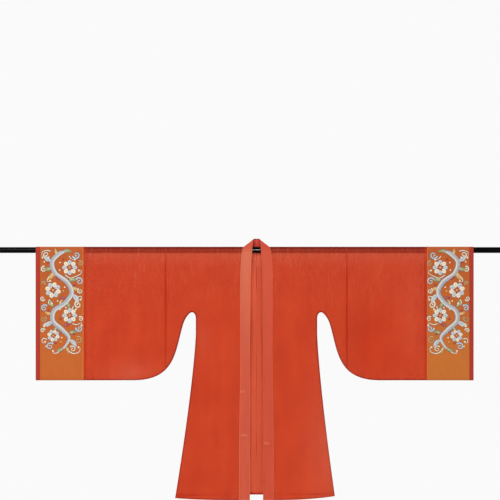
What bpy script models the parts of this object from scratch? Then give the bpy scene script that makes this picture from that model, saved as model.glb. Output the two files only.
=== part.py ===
"""A wide-sleeved, open-front gauze robe that hangs flat from a round display rod.

The rod lies along X through both sleeves, with the origin on its axis, half way along.
The robe's front faces -Y and +Z is up. The robe is cut without shoulder seams: each half
of the body is one length of cloth that runs from the front hem over the rod to the back
hem. A sleeve, an orange cuff band and a narrow red cuff edge follow on each side, and one
neckband half runs from each front hem round to the centre back.

"Out" below means a distance from the robe's centre line, whichever side it is on.
"""

import math

import bmesh
import bpy

# ---- Driving dimensions, in metres ----------------------------------------------------
CLOTH_WALL = 0.0012
SEAM_GAP = 0.0003

ROD_DIAMETER = 0.028
ROD_LENGTH = 2.500
ROD_SIDES = 48
ROD_END_CHAMFER = 0.001

# Where each side's pieces end, out from the centre line, and where its hem corner lies.
# The robe hangs a little to one side, so the two sides differ by a few millimetres.
SIDES = {
    "left": {
        "sign": -1,
        "sleeve_seam": 0.435,
        "band_seam": 0.829,
        "edge_seam": 1.038,
        "tip": 1.059,
        "corner_out": 0.3905,
        "corner_z": -1.190,
    },
    "right": {
        "sign": 1,
        "sleeve_seam": 0.432,
        "band_seam": 0.817,
        "edge_seam": 1.021,
        "tip": 1.041,
        "corner_out": 0.376,
        "corner_z": -1.180,
    },
}

# The sleeve's lower edge and the slot between sleeve and body, as one run of Bezier
# curves: start, its handle, the end's handle, the end; each is (out, z).
SLEEVE_DEPTH = 0.625
UNDERARM_CURVE = ((0.592, -SLEEVE_DEPTH), (0.384, -SLEEVE_DEPTH), (0.391, -0.480), (0.351, -0.352))
SLOT_OUTER_CURVE = (UNDERARM_CURVE[3], (0.3443, -0.3304), (0.3236, -0.2985), (0.310, -0.2985))
SLOT_INNER_CURVE = (SLOT_OUTER_CURVE[3], (0.298, -0.2985), (0.291, -0.312), (0.291, -0.330))

CHEST_OUT = 0.291
FLARE_START_Z = -0.400
FLARE_POWER = 1.3
FRONT_HEM_Z = -1.200
BACK_HEM_Z = -1.175
HEM_POWER = 3

# The neckband's two edges down the front: height, seam edge out, free edge out.
NECKBAND_TABLE = (
    (0.000, 0.070, 0.020),
    (-0.030, 0.073, 0.024),
    (-0.120, 0.078, 0.028),
    (-0.500, 0.077, 0.032),
    (-0.900, 0.083, 0.033),
    (-1.200, 0.084, 0.0315),
)
# Above the rod each half of the neckband leans back to a sloping fold, and from there it
# crosses the back of the neck.
COLLAR_TOP_Z = 0.054
COLLAR_FOLD_RADIUS = 0.003
COLLAR_FOLD_OUT = (0.058, 0.012)
BACK_NECK_Z = 0.003
BACK_NECK_POWER = 1.5
# Round the fold's foot, where the neckband turns over, the seam opens and the back stands
# a little further off the rod.
FOLD_FOOT_GAP = 0.0016
FOLD_FOOT_LIFT = 0.0017

# The front and back hang together: how far each lies from the middle, far below the rod,
# and the depth over which they close up to it.
LAYER_HALF_GAP = 0.0115
CLOSING_DEPTH = 0.240

# Soft long waves that the front and back share, at full size at the hem.
SWAY_TABLE = (
    {"size": 0.0018, "length": 0.620, "shift": 0.40},
    {"size": 0.0009, "length": 0.270, "shift": 1.90},
)
# Soft vertical folds: layer, place along X, half width, depth outwards, top, bottom.
FOLD_TABLE = (
    {"layer": "front", "x": -0.205, "half_width": 0.060, "depth": 0.0024, "top": -0.36, "bottom": -1.30},
    {"layer": "front", "x": 0.190, "half_width": 0.070, "depth": 0.0020, "top": -0.42, "bottom": -1.35},
    {"layer": "front", "x": -0.660, "half_width": 0.075, "depth": 0.0014, "top": -0.12, "bottom": -0.72},
    {"layer": "front", "x": 0.640, "half_width": 0.070, "depth": 0.0014, "top": -0.14, "bottom": -0.75},
    {"layer": "back", "x": -0.130, "half_width": 0.065, "depth": 0.0026, "top": -0.30, "bottom": -1.30},
    {"layer": "back", "x": 0.235, "half_width": 0.060, "depth": 0.0022, "top": -0.38, "bottom": -1.32},
    {"layer": "back", "x": -0.620, "half_width": 0.080, "depth": 0.0016, "top": -0.10, "bottom": -0.74},
    {"layer": "back", "x": 0.690, "half_width": 0.070, "depth": 0.0014, "top": -0.12, "bottom": -0.72},
)

# ---- How finely each stretch is divided -----------------------------------------------
ROD_WRAP_STEPS = 8
UPPER_ROWS = 9
UNDERARM_STEPS = 7
SLOT_OUTER_STEPS = 3
SLOT_INNER_STEPS = 2
SIDE_STEPS = 12
LOWER_ROWS = SLOT_INNER_STEPS + SIDE_STEPS
BODY_COLUMNS = 7
TURN_STEPS = 4
SLEEVE_STEPS = 12
CUFF_BAND_STEPS = 5
CUFF_EDGE_STEPS = 1
NECKBAND_COLUMNS = 5
# Places along the back neckline, as shares of the way out to the fold's foot.
BACK_NECK_SHARES = (1.0, 0.96, 0.90, 0.70, 0.40, 0.0)

QUARTER = ROD_WRAP_STEPS // 2
WRAP_STEP = math.pi / ROD_WRAP_STEPS
# The cloth's middle surface over the rod, with its flat facets and its slanting ones clear.
WRAP_SLACK = 0.0004
WRAP_RADIUS = (ROD_DIAMETER / 2 + SEAM_GAP + CLOTH_WALL / 2) / math.cos(WRAP_STEP / 2) + WRAP_SLACK
# How far above the slot's top the body's level rows end.
ARMPIT_RISE = 0.010
ARMPIT_Z = SLOT_OUTER_CURVE[3][1] + ARMPIT_RISE
WELD_DISTANCE = 0.00001

# ---- Materials: colour as sRGB hex, roughness, metallic --------------------------------
GAUZE_RED = ("gauze_red", "C8432C", 0.75, 0.0)
NECKBAND_RED = ("neckband_red", "D2624A", 0.70, 0.0)
CUFF_ORANGE = ("cuff_orange", "C4682C", 0.55, 0.0)
CUFF_EDGE_RED = ("cuff_edge_red", "B4372A", 0.65, 0.0)
ROD_BLACK = ("rod_black", "141414", 0.30, 0.0)


# ---- Small helpers --------------------------------------------------------------------
def mix(a, b, share):
    return a + (b - a) * share


def smooth(share):
    share = min(max(share, 0.0), 1.0)
    return share * share * (3 - 2 * share)


def table_value(table, z, column):
    """Reads a column of a table whose first column is a height that falls row by row."""
    for upper, lower in zip(table, table[1:]):
        if z >= lower[0]:
            return mix(upper[column], lower[column], (upper[0] - z) / (upper[0] - lower[0]))
    return table[-1][column]


def bezier(curve, t):
    """The point of a Bezier curve at t, and its direction, both as (out, z)."""
    a, b, c, d = curve
    point = [
        (1 - t) ** 3 * a[k] + 3 * (1 - t) ** 2 * t * b[k] + 3 * (1 - t) * t**2 * c[k] + t**3 * d[k]
        for k in (0, 1)
    ]
    slope = [
        (1 - t) ** 2 * (b[k] - a[k]) + 2 * (1 - t) * t * (c[k] - b[k]) + t**2 * (d[k] - c[k])
        for k in (0, 1)
    ]
    return point, slope


def underarm_share(out):
    """Where along the underarm curve a distance out is reached."""
    low, high = 0.0, 1.0
    for _ in range(40):
        middle = (low + high) / 2
        if bezier(UNDERARM_CURVE, middle)[0][0] > out:
            low = middle
        else:
            high = middle
    return low


# ---- The cloth's shape ------------------------------------------------------------------
def half_gap(z):
    """How far the front and back lie from the middle at a height below the rod."""
    return LAYER_HALF_GAP + (WRAP_RADIUS - LAYER_HALF_GAP) * math.exp(z / CLOSING_DEPTH)


def sway(x, z):
    """The waves that the front and back share."""
    growth = smooth(z / FRONT_HEM_Z)
    return growth * sum(
        wave["size"] * math.sin(2 * math.pi * x / wave["length"] + wave["shift"]) for wave in SWAY_TABLE
    )


def folds(layer, x, z):
    """How far the soft folds push a layer outwards."""
    height = 0.0
    for fold in FOLD_TABLE:
        if fold["layer"] != layer:
            continue
        across = 1 - abs(x - fold["x"]) / fold["half_width"]
        down = (fold["top"] - z) / (fold["top"] - fold["bottom"])
        height += fold["depth"] * smooth(across) * math.sin(math.pi * min(max(down, 0.0), 1.0))
    return height


def front_y(x, z):
    return sway(x, z) - half_gap(z) - folds("front", x, z)


def back_y(x, z):
    return sway(x, z) + half_gap(z) + folds("back", x, z)


LAYER_Y = {"front": front_y, "back": back_y}


def over_rod(angle):
    """(y, z) on the cloth over the rod: 0 is level in front, a half turn is level behind."""
    return -WRAP_RADIUS * math.cos(angle), WRAP_RADIUS * math.sin(angle)


def side_out(side, z):
    """The body's side seam."""
    if z > FLARE_START_Z:
        return CHEST_OUT
    share = (FLARE_START_Z - z) / (FLARE_START_Z - side["corner_z"])
    return mix(CHEST_OUT, side["corner_out"], share**FLARE_POWER)


def hem_z(side, layer, out):
    middle = FRONT_HEM_Z if layer == "front" else BACK_HEM_Z
    return mix(middle, side["corner_z"], (out / side["corner_out"]) ** HEM_POWER)


def outline(side):
    """The edge where the front turns into the back, from the sleeve seam to the hem corner.

    Each entry is the outermost point and the point where the layers' flat part ends, as
    (out, z). Between the two the cloth makes a half round.
    """
    start = underarm_share(side["sleeve_seam"])
    route = [bezier(UNDERARM_CURVE, mix(start, 1, i / UNDERARM_STEPS)) for i in range(UNDERARM_STEPS)]
    route += [bezier(SLOT_OUTER_CURVE, i / SLOT_OUTER_STEPS) for i in range(SLOT_OUTER_STEPS)]
    route += [bezier(SLOT_INNER_CURVE, i / SLOT_INNER_STEPS) for i in range(SLOT_INNER_STEPS)]
    for i in range(SIDE_STEPS + 1):
        z = mix(SLOT_INNER_CURVE[3][1], side["corner_z"], i / SIDE_STEPS)
        below = z - 0.001
        route.append(([side_out(side, z), z], [side_out(side, below) - side_out(side, z), below - z]))
    edge = []
    for point, direction in route:
        radius = half_gap(point[1])
        length = math.hypot(*direction)
        inward = (direction[1] / length, -direction[0] / length)
        edge.append((point, [point[0] + inward[0] * radius, point[1] + inward[1] * radius], inward))
    # At the sleeve seam the flat part ends straight above, on the seam; at the hem, on the hem.
    first, last = edge[0], edge[-1]
    first[1][0] = side["sleeve_seam"]
    first[1][1] = first[0][1] + half_gap(first[0][1]) / first[2][1]
    last[1][1] = hem_z(side, "front", last[1][0])
    return [(point, inner) for point, inner, _ in edge]


def front_edge_out(z):
    return table_value(NECKBAND_TABLE, z, 1)


def neck_edge_out(angle):
    """The neckline over the rod, out from the centre line."""
    level = abs(math.cos(angle))
    return mix(COLLAR_FOLD_OUT[0], NECKBAND_TABLE[0][1], level) + mix(FOLD_FOOT_GAP, SEAM_GAP, level)


def even_z(side, layer, row, out):
    """The height of a row of the body, away from the side seam."""
    if row <= UPPER_ROWS:
        return ARMPIT_Z * row / UPPER_ROWS
    return mix(ARMPIT_Z, hem_z(side, layer, out), (row - UPPER_ROWS) / LOWER_ROWS)


# ---- The collar above the rod -----------------------------------------------------------
def collar_arch(share):
    """The centre height and radius of the collar's fold, from its foot (0) to its top (1)."""
    centre = (COLLAR_TOP_Z - COLLAR_FOLD_RADIUS) * share
    return centre, mix(WRAP_RADIUS, COLLAR_FOLD_RADIUS, share)


def collar_back_y(out, z):
    """How far back the collar lies. It leans from the rod's back to the fold above it."""
    foot, top = COLLAR_FOLD_OUT
    centre, radius = collar_arch(min(max((foot - out) / (foot - top), 0.0), 1.0))
    lean = math.asin((WRAP_RADIUS - COLLAR_FOLD_RADIUS) / (COLLAR_TOP_Z - COLLAR_FOLD_RADIUS))
    low, high = WRAP_RADIUS * math.sin(lean), centre + radius * math.sin(lean)
    if z >= high:
        return math.sqrt(max(radius**2 - (z - centre) ** 2, 0.0))
    if z <= low:
        return math.sqrt(WRAP_RADIUS**2 - z**2)
    return mix(WRAP_RADIUS, radius, (z - low) / (high - low)) * math.cos(lean)


def back_neck_z(share):
    """The back neckline's height, from the centre (0) to the fold's foot (1)."""
    return mix(BACK_NECK_Z, WRAP_RADIUS, share**BACK_NECK_POWER)


# ---- Building blocks --------------------------------------------------------------------
def add_block(mesh, rows):
    """Adds a stretch of cloth: a grid of faces through rows of points."""
    lines = [[mesh.verts.new(point) for point in row] for row in rows]
    for upper, lower in zip(lines, lines[1:]):
        for k in range(len(upper) - 1):
            mesh.faces.new((upper[k], upper[k + 1], lower[k + 1], lower[k]))


def make_material(look):
    name, colour, roughness, metallic = look
    material = bpy.data.materials.new(name)
    material.use_nodes = True
    channels = [int(colour[k : k + 2], 16) / 255 for k in (0, 2, 4)]
    linear = [c / 12.92 if c <= 0.04045 else ((c + 0.055) / 1.055) ** 2.4 for c in channels]
    shader = material.node_tree.nodes["Principled BSDF"]
    shader.inputs["Base Color"].default_value = (*linear, 1)
    shader.inputs["Roughness"].default_value = roughness
    shader.inputs["Metallic"].default_value = metallic
    material.diffuse_color = (*linear, 1)
    return material


def make_cloth(name, mesh, material, collection):
    """Welds the blocks into one open surface and gives it the cloth's thickness."""
    bmesh.ops.remove_doubles(mesh, verts=mesh.verts, dist=WELD_DISTANCE)
    bmesh.ops.recalc_face_normals(mesh, faces=mesh.faces)
    data = bpy.data.meshes.new(name)
    mesh.to_mesh(data)
    mesh.free()
    data.shade_smooth()
    data.materials.append(material)
    cloth = bpy.data.objects.new(name, data)
    collection.objects.link(cloth)
    wall = cloth.modifiers.new("wall", "SOLIDIFY")
    wall.thickness = CLOTH_WALL
    wall.offset = 0
    wall.use_even_offset = True
    wall.use_quality_normals = True
    return cloth


# ---- Tubes: sleeves, cuff bands and cuff edges ------------------------------------------
def sleeve_bottom(out):
    """The height of the sleeve's lower edge, and its slope."""
    if out >= UNDERARM_CURVE[0][0]:
        return -SLEEVE_DEPTH, 0.0
    point, direction = bezier(UNDERARM_CURVE, underarm_share(out))
    return point[1], direction[1] / direction[0]


def sleeve_ring(side, out):
    """One section round the sleeve, as a closed run of points."""
    x = side["sign"] * out
    bottom, slope = sleeve_bottom(out)
    radius = half_gap(bottom)
    flat_end = bottom + radius * math.hypot(1, slope)
    ring = [(x, *over_rod(i * WRAP_STEP)) for i in range(ROD_WRAP_STEPS)]
    for row in range(UPPER_ROWS + 1):
        z = flat_end * row / UPPER_ROWS
        ring.append((x, back_y(x, z), z))
    middle = (back_y(x, flat_end) + front_y(x, flat_end)) / 2
    half = (back_y(x, flat_end) - front_y(x, flat_end)) / 2
    for i in range(1, TURN_STEPS):
        angle = math.pi * i / TURN_STEPS
        ring.append((x, middle + half * math.cos(angle), mix(flat_end, bottom, math.sin(angle))))
    for row in range(UPPER_ROWS, -1, -1):
        z = flat_end * row / UPPER_ROWS
        ring.append((x, front_y(x, z), z))
    return ring


def make_tube(name, side, start, end, steps, material, collection):
    mesh = bmesh.new()
    add_block(mesh, [sleeve_ring(side, mix(start + SEAM_GAP, end, i / steps)) for i in range(steps + 1)])
    return make_cloth(name, mesh, material, collection)


# ---- The body's two halves --------------------------------------------------------------
def body_point(side, layer, row, share, edge):
    """A point of the front or back between the side seam (share 0) and the front edge (1)."""
    slot = UNDERARM_STEPS + SLOT_OUTER_STEPS
    seam = edge[slot + max(row - UPPER_ROWS, 0)][1]
    if row <= UPPER_ROWS:
        seam = (seam[0], seam[1] * row / UPPER_ROWS)
    inner = front_edge_out(even_z(side, layer, row, NECKBAND_TABLE[-1][1])) + SEAM_GAP
    out = mix(seam[0], inner, share)
    away = seam[1] - even_z(side, layer, row, seam[0])
    if row == UPPER_ROWS + LOWER_ROWS:
        away = 0.0
    z = even_z(side, layer, row, out) + away * (1 - smooth(share))
    x = side["sign"] * out
    return x, LAYER_Y[layer](x, z), z


def body_layer(mesh, side, layer, edge):
    """The front or back of one half, from the sleeve seam to the front edge."""
    slot = UNDERARM_STEPS + SLOT_OUTER_STEPS
    sleeve_part = []
    for row in range(UPPER_ROWS + 1):
        line = []
        for _, flat_end in edge[: slot + 1]:
            x, z = side["sign"] * flat_end[0], flat_end[1] * row / UPPER_ROWS
            line.append((x, LAYER_Y[layer](x, z), z))
        sleeve_part.append(line)
    add_block(mesh, sleeve_part)
    rows = range(UPPER_ROWS + LOWER_ROWS + 1)
    columns = [k / BODY_COLUMNS for k in range(BODY_COLUMNS + 1)]
    add_block(mesh, [[body_point(side, layer, row, share, edge) for share in columns] for row in rows])


def body_over_rod(mesh, side, edge):
    """The stretch of one half that lies over the rod."""
    slot = UNDERARM_STEPS + SLOT_OUTER_STEPS
    outs = [flat_end[0] for _, flat_end in edge[: slot + 1]]
    rows = []
    for i in range(ROD_WRAP_STEPS + 1):
        angle = i * WRAP_STEP
        inner = neck_edge_out(angle)
        across = outs + [mix(outs[-1], inner, k / BODY_COLUMNS) for k in range(1, BODY_COLUMNS + 1)]
        rows.append([(side["sign"] * out, *over_rod(angle)) for out in across])
    add_block(mesh, rows)


def body_turn(mesh, side, edge):
    """The half round that joins front and back along the underarm and the side seam."""
    rows = []
    for tip, flat_end in edge:
        x, z = side["sign"] * flat_end[0], flat_end[1]
        middle = (back_y(x, z) + front_y(x, z)) / 2
        half = (back_y(x, z) - front_y(x, z)) / 2
        line = []
        for i in range(TURN_STEPS + 1):
            angle = math.pi * i / TURN_STEPS
            reach = math.sin(angle)
            line.append(
                (
                    side["sign"] * mix(flat_end[0], tip[0], reach),
                    middle - half * math.cos(angle),
                    mix(z, tip[1], reach),
                )
            )
        rows.append(line)
    add_block(mesh, rows)


def body_back_neck(mesh, side):
    """The back between the neckline and the hem, in to the centre back seam."""
    rows = []
    for i in range(QUARTER + 1):
        angle = math.pi / 2 + i * WRAP_STEP
        line = []
        for share in BACK_NECK_SHARES:
            out = max(share * neck_edge_out(angle), SEAM_GAP / 2)
            z = (back_neck_z(share) - mix(2 * SEAM_GAP, FOLD_FOOT_GAP, share)) * math.sin(angle)
            if share == BACK_NECK_SHARES[0]:
                y, z = over_rod(angle)
            else:
                y = collar_back_y(out, z) + FOLD_FOOT_LIFT * share**4 * math.sin(angle)
            line.append((side["sign"] * out, y, z))
        rows.append(line)
    for row in range(1, UPPER_ROWS + LOWER_ROWS + 1):
        edge_out = front_edge_out(even_z(side, "back", row, NECKBAND_TABLE[-1][1])) + SEAM_GAP
        line = []
        for share in BACK_NECK_SHARES:
            out = max(share * edge_out, SEAM_GAP / 2)
            z = even_z(side, "back", row, out)
            x = side["sign"] * out
            line.append((x, back_y(x, z), z))
        rows.append(line)
    add_block(mesh, rows)


def make_body(name, side, material, collection):
    edge = outline(side)
    mesh = bmesh.new()
    body_layer(mesh, side, "front", edge)
    body_layer(mesh, side, "back", edge)
    body_over_rod(mesh, side, edge)
    body_turn(mesh, side, edge)
    body_back_neck(mesh, side)
    return make_cloth(name, mesh, material, collection)


# ---- The neckband's two halves ----------------------------------------------------------
def make_neckband(name, side, material, collection):
    """One half of the neckband: up the front, over the rod's front, and across the back."""
    shares = [k / NECKBAND_COLUMNS for k in range(NECKBAND_COLUMNS + 1)]
    sections = []
    for row in range(UPPER_ROWS + LOWER_ROWS, -1, -1):
        level = even_z(side, "front", row, NECKBAND_TABLE[-1][1])
        line = []
        for share in shares:
            out = mix(front_edge_out(level), table_value(NECKBAND_TABLE, level, 2), share)
            z = even_z(side, "front", row, out)
            line.append((side["sign"] * out, front_y(side["sign"] * out, z), z))
        sections.append(line)
    # Above the rod's axis the strip leans back, up to the sloping fold.
    for i in range(1, QUARTER + 1):
        angle = i * WRAP_STEP
        line = []
        for share in shares:
            centre, radius = collar_arch(share)
            z = centre + radius * math.sin(angle)
            progress = mix(1 - math.cos(angle), z / (centre + radius), share)
            base = mix(NECKBAND_TABLE[0][1], NECKBAND_TABLE[0][2], share)
            out = mix(base, mix(*COLLAR_FOLD_OUT, share), progress)
            line.append((side["sign"] * out, -radius * math.cos(angle), z))
        sections.append(line)
    # Past the fold the strip turns level and runs to the centre back.
    for neck_share in BACK_NECK_SHARES[1:]:
        line = []
        for share in shares:
            out = max(neck_share * mix(*COLLAR_FOLD_OUT, share), SEAM_GAP / 2)
            z = mix(back_neck_z(neck_share), COLLAR_TOP_Z, share)
            line.append((side["sign"] * out, collar_back_y(out, z), z))
        sections.append(line)
    mesh = bmesh.new()
    add_block(mesh, sections)
    return make_cloth(name, mesh, material, collection)


# ---- The rod ----------------------------------------------------------------------------
def make_rod(material, collection):
    mesh = bmesh.new()
    bmesh.ops.create_cone(
        mesh,
        cap_ends=True,
        segments=ROD_SIDES,
        radius1=ROD_DIAMETER / 2,
        radius2=ROD_DIAMETER / 2,
        depth=ROD_LENGTH,
    )
    data = bpy.data.meshes.new("rod")
    mesh.to_mesh(data)
    mesh.free()
    data.materials.append(material)
    data.shade_smooth()
    data.set_sharp_from_angle(angle=math.radians(30))
    rod = bpy.data.objects.new("rod", data)
    collection.objects.link(rod)
    rod.rotation_euler = (0, math.radians(90), 0)
    chamfer = rod.modifiers.new("end_chamfer", "BEVEL")
    chamfer.width = ROD_END_CHAMFER
    chamfer.segments = 1
    chamfer.limit_method = "ANGLE"
    chamfer.angle_limit = math.radians(60)
    return rod


# ---- The whole model --------------------------------------------------------------------
def main():
    for leftover in list(bpy.data.objects):
        bpy.data.objects.remove(leftover)
    collection = bpy.data.collections.new("hanfu_robe_on_rod")
    bpy.context.scene.collection.children.link(collection)
    gauze = make_material(GAUZE_RED)
    neckband = make_material(NECKBAND_RED)
    orange = make_material(CUFF_ORANGE)
    cuff_red = make_material(CUFF_EDGE_RED)
    make_rod(make_material(ROD_BLACK), collection)
    for word, side in SIDES.items():
        make_body(f"body_{word}", side, gauze, collection)
        for piece, start, end, steps, material in (
            ("sleeve", "sleeve_seam", "band_seam", SLEEVE_STEPS, gauze),
            ("cuff_band", "band_seam", "edge_seam", CUFF_BAND_STEPS, orange),
            ("cuff_edge", "edge_seam", "tip", CUFF_EDGE_STEPS, cuff_red),
        ):
            make_tube(f"{piece}_{word}", side, side[start], side[end], steps, material, collection)
        make_neckband(f"neckband_{word}", side, neckband, collection)


main()
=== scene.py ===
# %% [markdown]
# # A silk gauze robe on a display rod
# The robe is a long open coat with wide sleeves, sewn from sheer red silk gauze. A doubled
# neckband edges the front, and a band of orange satin with raised embroidery ends each
# sleeve. It hangs flat from a round black rod that passes through both sleeves.
#
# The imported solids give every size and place, in metres, with the rod along X, the robe's
# front facing -Y and +Z up. They are loaded first and never moved. Each cloth piece made
# below stands on the form of one solid and takes its place in the picture.

import math

import bpy
import numpy as np
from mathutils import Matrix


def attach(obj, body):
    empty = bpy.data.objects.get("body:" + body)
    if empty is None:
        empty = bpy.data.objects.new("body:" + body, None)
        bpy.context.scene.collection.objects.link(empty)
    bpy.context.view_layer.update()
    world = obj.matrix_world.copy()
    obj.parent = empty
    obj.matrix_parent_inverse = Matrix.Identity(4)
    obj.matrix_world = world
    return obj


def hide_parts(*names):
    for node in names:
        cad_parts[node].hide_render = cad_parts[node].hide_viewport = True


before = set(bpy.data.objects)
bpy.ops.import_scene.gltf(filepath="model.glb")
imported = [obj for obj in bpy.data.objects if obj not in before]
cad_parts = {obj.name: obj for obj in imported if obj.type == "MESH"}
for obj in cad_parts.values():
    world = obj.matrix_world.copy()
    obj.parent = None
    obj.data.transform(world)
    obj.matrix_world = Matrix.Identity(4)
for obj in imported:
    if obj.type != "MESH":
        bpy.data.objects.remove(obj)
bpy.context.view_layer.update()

# %% [markdown]
# ## Sizes of the robe
# These are the pattern's own measures. The two sides differ by up to 18 mm, because the
# robe hangs a little to one side. "Out" is always a distance from the centre line, so one
# set of functions serves both sides.

# %% Sizes of the robe
ROD_RADIUS = 0.014
ROD_LENGTH = 2.500
SIDES = {
    "left": {
        "sign": -1,
        "sleeve_seam": 0.435,
        "band_seam": 0.829,
        "edge_seam": 1.038,
        "tip": 1.059,
        "corner_out": 0.3905,
        "corner_z": -1.190,
    },
    "right": {
        "sign": 1,
        "sleeve_seam": 0.432,
        "band_seam": 0.817,
        "edge_seam": 1.021,
        "tip": 1.041,
        "corner_out": 0.376,
        "corner_z": -1.180,
    },
}
SEAMS = ("sleeve_seam", "band_seam", "edge_seam", "tip")
SLEEVE_DEPTH = 0.625
CHEST_OUT = 0.291
UNDERARM_CURVE = ((0.592, -SLEEVE_DEPTH), (0.384, -SLEEVE_DEPTH), (0.391, -0.480), (0.351, -0.352))
SLOT_OUTER_CURVE = (UNDERARM_CURVE[3], (0.3443, -0.3304), (0.3236, -0.2985), (0.310, -0.2985))
SLOT_INNER_CURVE = (SLOT_OUTER_CURVE[3], (0.298, -0.2985), (CHEST_OUT, -0.312), (CHEST_OUT, -0.330))
FLARE_START_Z = -0.400
FLARE_POWER = 1.3
FRONT_HEM_Z = -1.200
BACK_HEM_Z = -1.175
HEM_POWER = 3
ARMPIT_Z = -0.2885

# The neckband down the front: height, seam edge out, free edge out.
NECKBAND_TABLE = np.array(
    (
        (0.000, 0.070, 0.020),
        (-0.030, 0.073, 0.024),
        (-0.120, 0.078, 0.028),
        (-0.500, 0.077, 0.032),
        (-0.900, 0.083, 0.033),
        (-1.200, 0.084, 0.0315),
    )
)
COLLAR_TOP_Z = 0.054
COLLAR_FOLD_RADIUS = 0.003
COLLAR_FOLD_OUT = (0.058, 0.012)
BACK_NECK_Z = 0.003
BACK_NECK_POWER = 1.5
FOLD_FOOT_GAP = 0.0016
FOLD_FOOT_LIFT = 0.0017

# The cloth's middle surface over the rod, how the two layers close up below it, and which
# way is outwards for each.
WRAP_RADIUS = 0.01559
LAYER_HALF_GAP = 0.0115
CLOSING_DEPTH = 0.240
SEAM_GAP = 0.0001
CENTRE_GAP = 0.00002
OUTWARD = {"front": -1, "back": 1}

# %% [markdown]
# ## How the cloth hangs
# Real gauze on a rod falls almost flat, but never quite: it has long soft waves, a few
# vertical folds, and small creases where it was packed or where a seam pulls. A cloth
# simulation would let the sheer layers drift apart and blur the sewn outline, so the hang
# is written as a height over the flat layer instead. The long waves and folds match the
# solids. The creases come from a table, one row each, with a start, an end, a half width
# and a height. A ridge has a positive height and a trough a negative one.

# %% Waves, folds and creases
SWAY_TABLE = ((0.0018, 0.620, 0.40), (0.0009, 0.270, 1.90))  # size, length, shift
FOLDS = {  # of each layer: x, half width, depth, top, bottom
    "front": (
        (-0.205, 0.060, 0.0024, -0.36, -1.30),
        (0.190, 0.070, 0.0020, -0.42, -1.35),
        (-0.660, 0.075, 0.0014, -0.12, -0.72),
        (0.640, 0.070, 0.0014, -0.14, -0.75),
    ),
    "back": (
        (-0.130, 0.065, 0.0026, -0.30, -1.30),
        (0.235, 0.060, 0.0022, -0.38, -1.32),
        (-0.620, 0.080, 0.0016, -0.10, -0.74),
        (0.690, 0.070, 0.0014, -0.12, -0.72),
    ),
}
CREASES = {  # of each layer: x0, z0, x1, z1, half width, height
    "front": (
        (-0.823, -0.262, -0.781, -0.257, 0.009, 0.0011),
        (-0.820, -0.290, -0.764, -0.283, 0.010, -0.0010),
        (-0.812, -0.318, -0.770, -0.326, 0.009, 0.0012),
        (-0.826, -0.350, -0.742, -0.338, 0.011, -0.0008),
        (-0.770, -0.566, -0.590, -0.585, 0.022, 0.0016),
        (-0.700, -0.060, -0.715, -0.310, 0.012, -0.0009),
        (-0.600, -0.030, -0.612, -0.230, 0.010, 0.0008),
        (-0.540, -0.100, -0.470, -0.420, 0.020, -0.0014),
        (-0.400, -0.060, -0.372, -0.300, 0.014, 0.0012),
        (-0.352, -0.120, -0.302, -0.280, 0.011, -0.0010),
        (-0.250, -0.470, -0.262, -1.180, 0.026, 0.0026),
        (-0.172, -0.220, -0.160, -0.760, 0.016, -0.0012),
        (-0.128, -0.640, -0.142, -1.190, 0.018, 0.0015),
        (-0.320, -0.820, -0.352, -1.185, 0.020, -0.0018),
        (0.135, -0.120, 0.124, -0.520, 0.013, 0.0010),
        (0.165, -0.430, 0.178, -0.640, 0.030, -0.0020),
        (0.240, -0.660, 0.262, -1.195, 0.022, 0.0018),
        (0.320, -0.850, 0.346, -1.180, 0.017, 0.0020),
        (0.130, -0.780, 0.122, -1.195, 0.019, -0.0014),
        (0.300, -0.230, 0.332, -0.100, 0.012, 0.0011),
        (0.398, -0.120, 0.372, -0.340, 0.013, -0.0011),
        (0.500, -0.040, 0.512, -0.260, 0.011, 0.0009),
        (0.560, -0.260, 0.600, -0.560, 0.024, 0.0015),
        (0.720, -0.050, 0.708, -0.340, 0.012, -0.0009),
        (0.760, -0.420, 0.810, -0.500, 0.014, 0.0012),
        (0.780, -0.590, 0.640, -0.577, 0.020, -0.0013),
        (-0.084, -0.896, -0.030, -0.880, 0.008, 0.0013),
        (-0.084, -0.914, -0.034, -0.902, 0.009, -0.0009),
        (0.030, -0.918, 0.086, -0.934, 0.008, 0.0012),
        (0.034, -0.945, 0.084, -0.950, 0.009, -0.0008),
        (-0.076, -0.030, -0.070, -0.330, 0.008, 0.0008),
        (0.050, -0.180, 0.058, -0.620, 0.009, -0.0008),
    ),
    "back": (
        (-0.780, -0.240, -0.700, -0.262, 0.012, 0.0011),
        (-0.690, -0.050, -0.672, -0.380, 0.014, -0.0010),
        (-0.560, -0.120, -0.500, -0.520, 0.022, 0.0015),
        (-0.410, -0.080, -0.352, -0.310, 0.013, -0.0012),
        (-0.300, -0.420, -0.335, -1.175, 0.024, 0.0022),
        (-0.215, -0.160, -0.205, -0.720, 0.018, -0.0014),
        (-0.072, -0.500, -0.090, -1.165, 0.020, 0.0016),
        (0.026, -0.060, 0.027, -0.420, 0.007, 0.0022),
        (0.110, -0.260, 0.128, -1.168, 0.022, -0.0015),
        (0.312, -0.560, 0.338, -1.172, 0.021, 0.0019),
        (0.402, -0.100, 0.366, -0.320, 0.014, 0.0012),
        (0.540, -0.090, 0.600, -0.500, 0.021, -0.0014),
        (0.700, -0.040, 0.712, -0.300, 0.013, 0.0010),
        (0.790, -0.540, 0.660, -0.586, 0.018, 0.0013),
    ),
}
RIPPLES = (  # radians along x and z per metre, shift, size: the gauze's slight unevenness
    (62, 10, 0.3, 0.00016),
    (-38, 26, 1.7, 0.00014),
    (94, -18, 2.9, 0.00010),
    (22, 46, 4.4, 0.00012),
    (142, 14, 5.2, 0.00006),
)
RIPPLE_SHIFT = {"front": 0.0, "back": 2.1}
CREASE_SETTLE = 0.020
CREASE_ROUNDNESS = 0.7


def mix(a, b, share):
    return a + (b - a) * share


def smooth(share):
    share = np.clip(share, 0, 1)
    return share * share * (3 - 2 * share)


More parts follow.
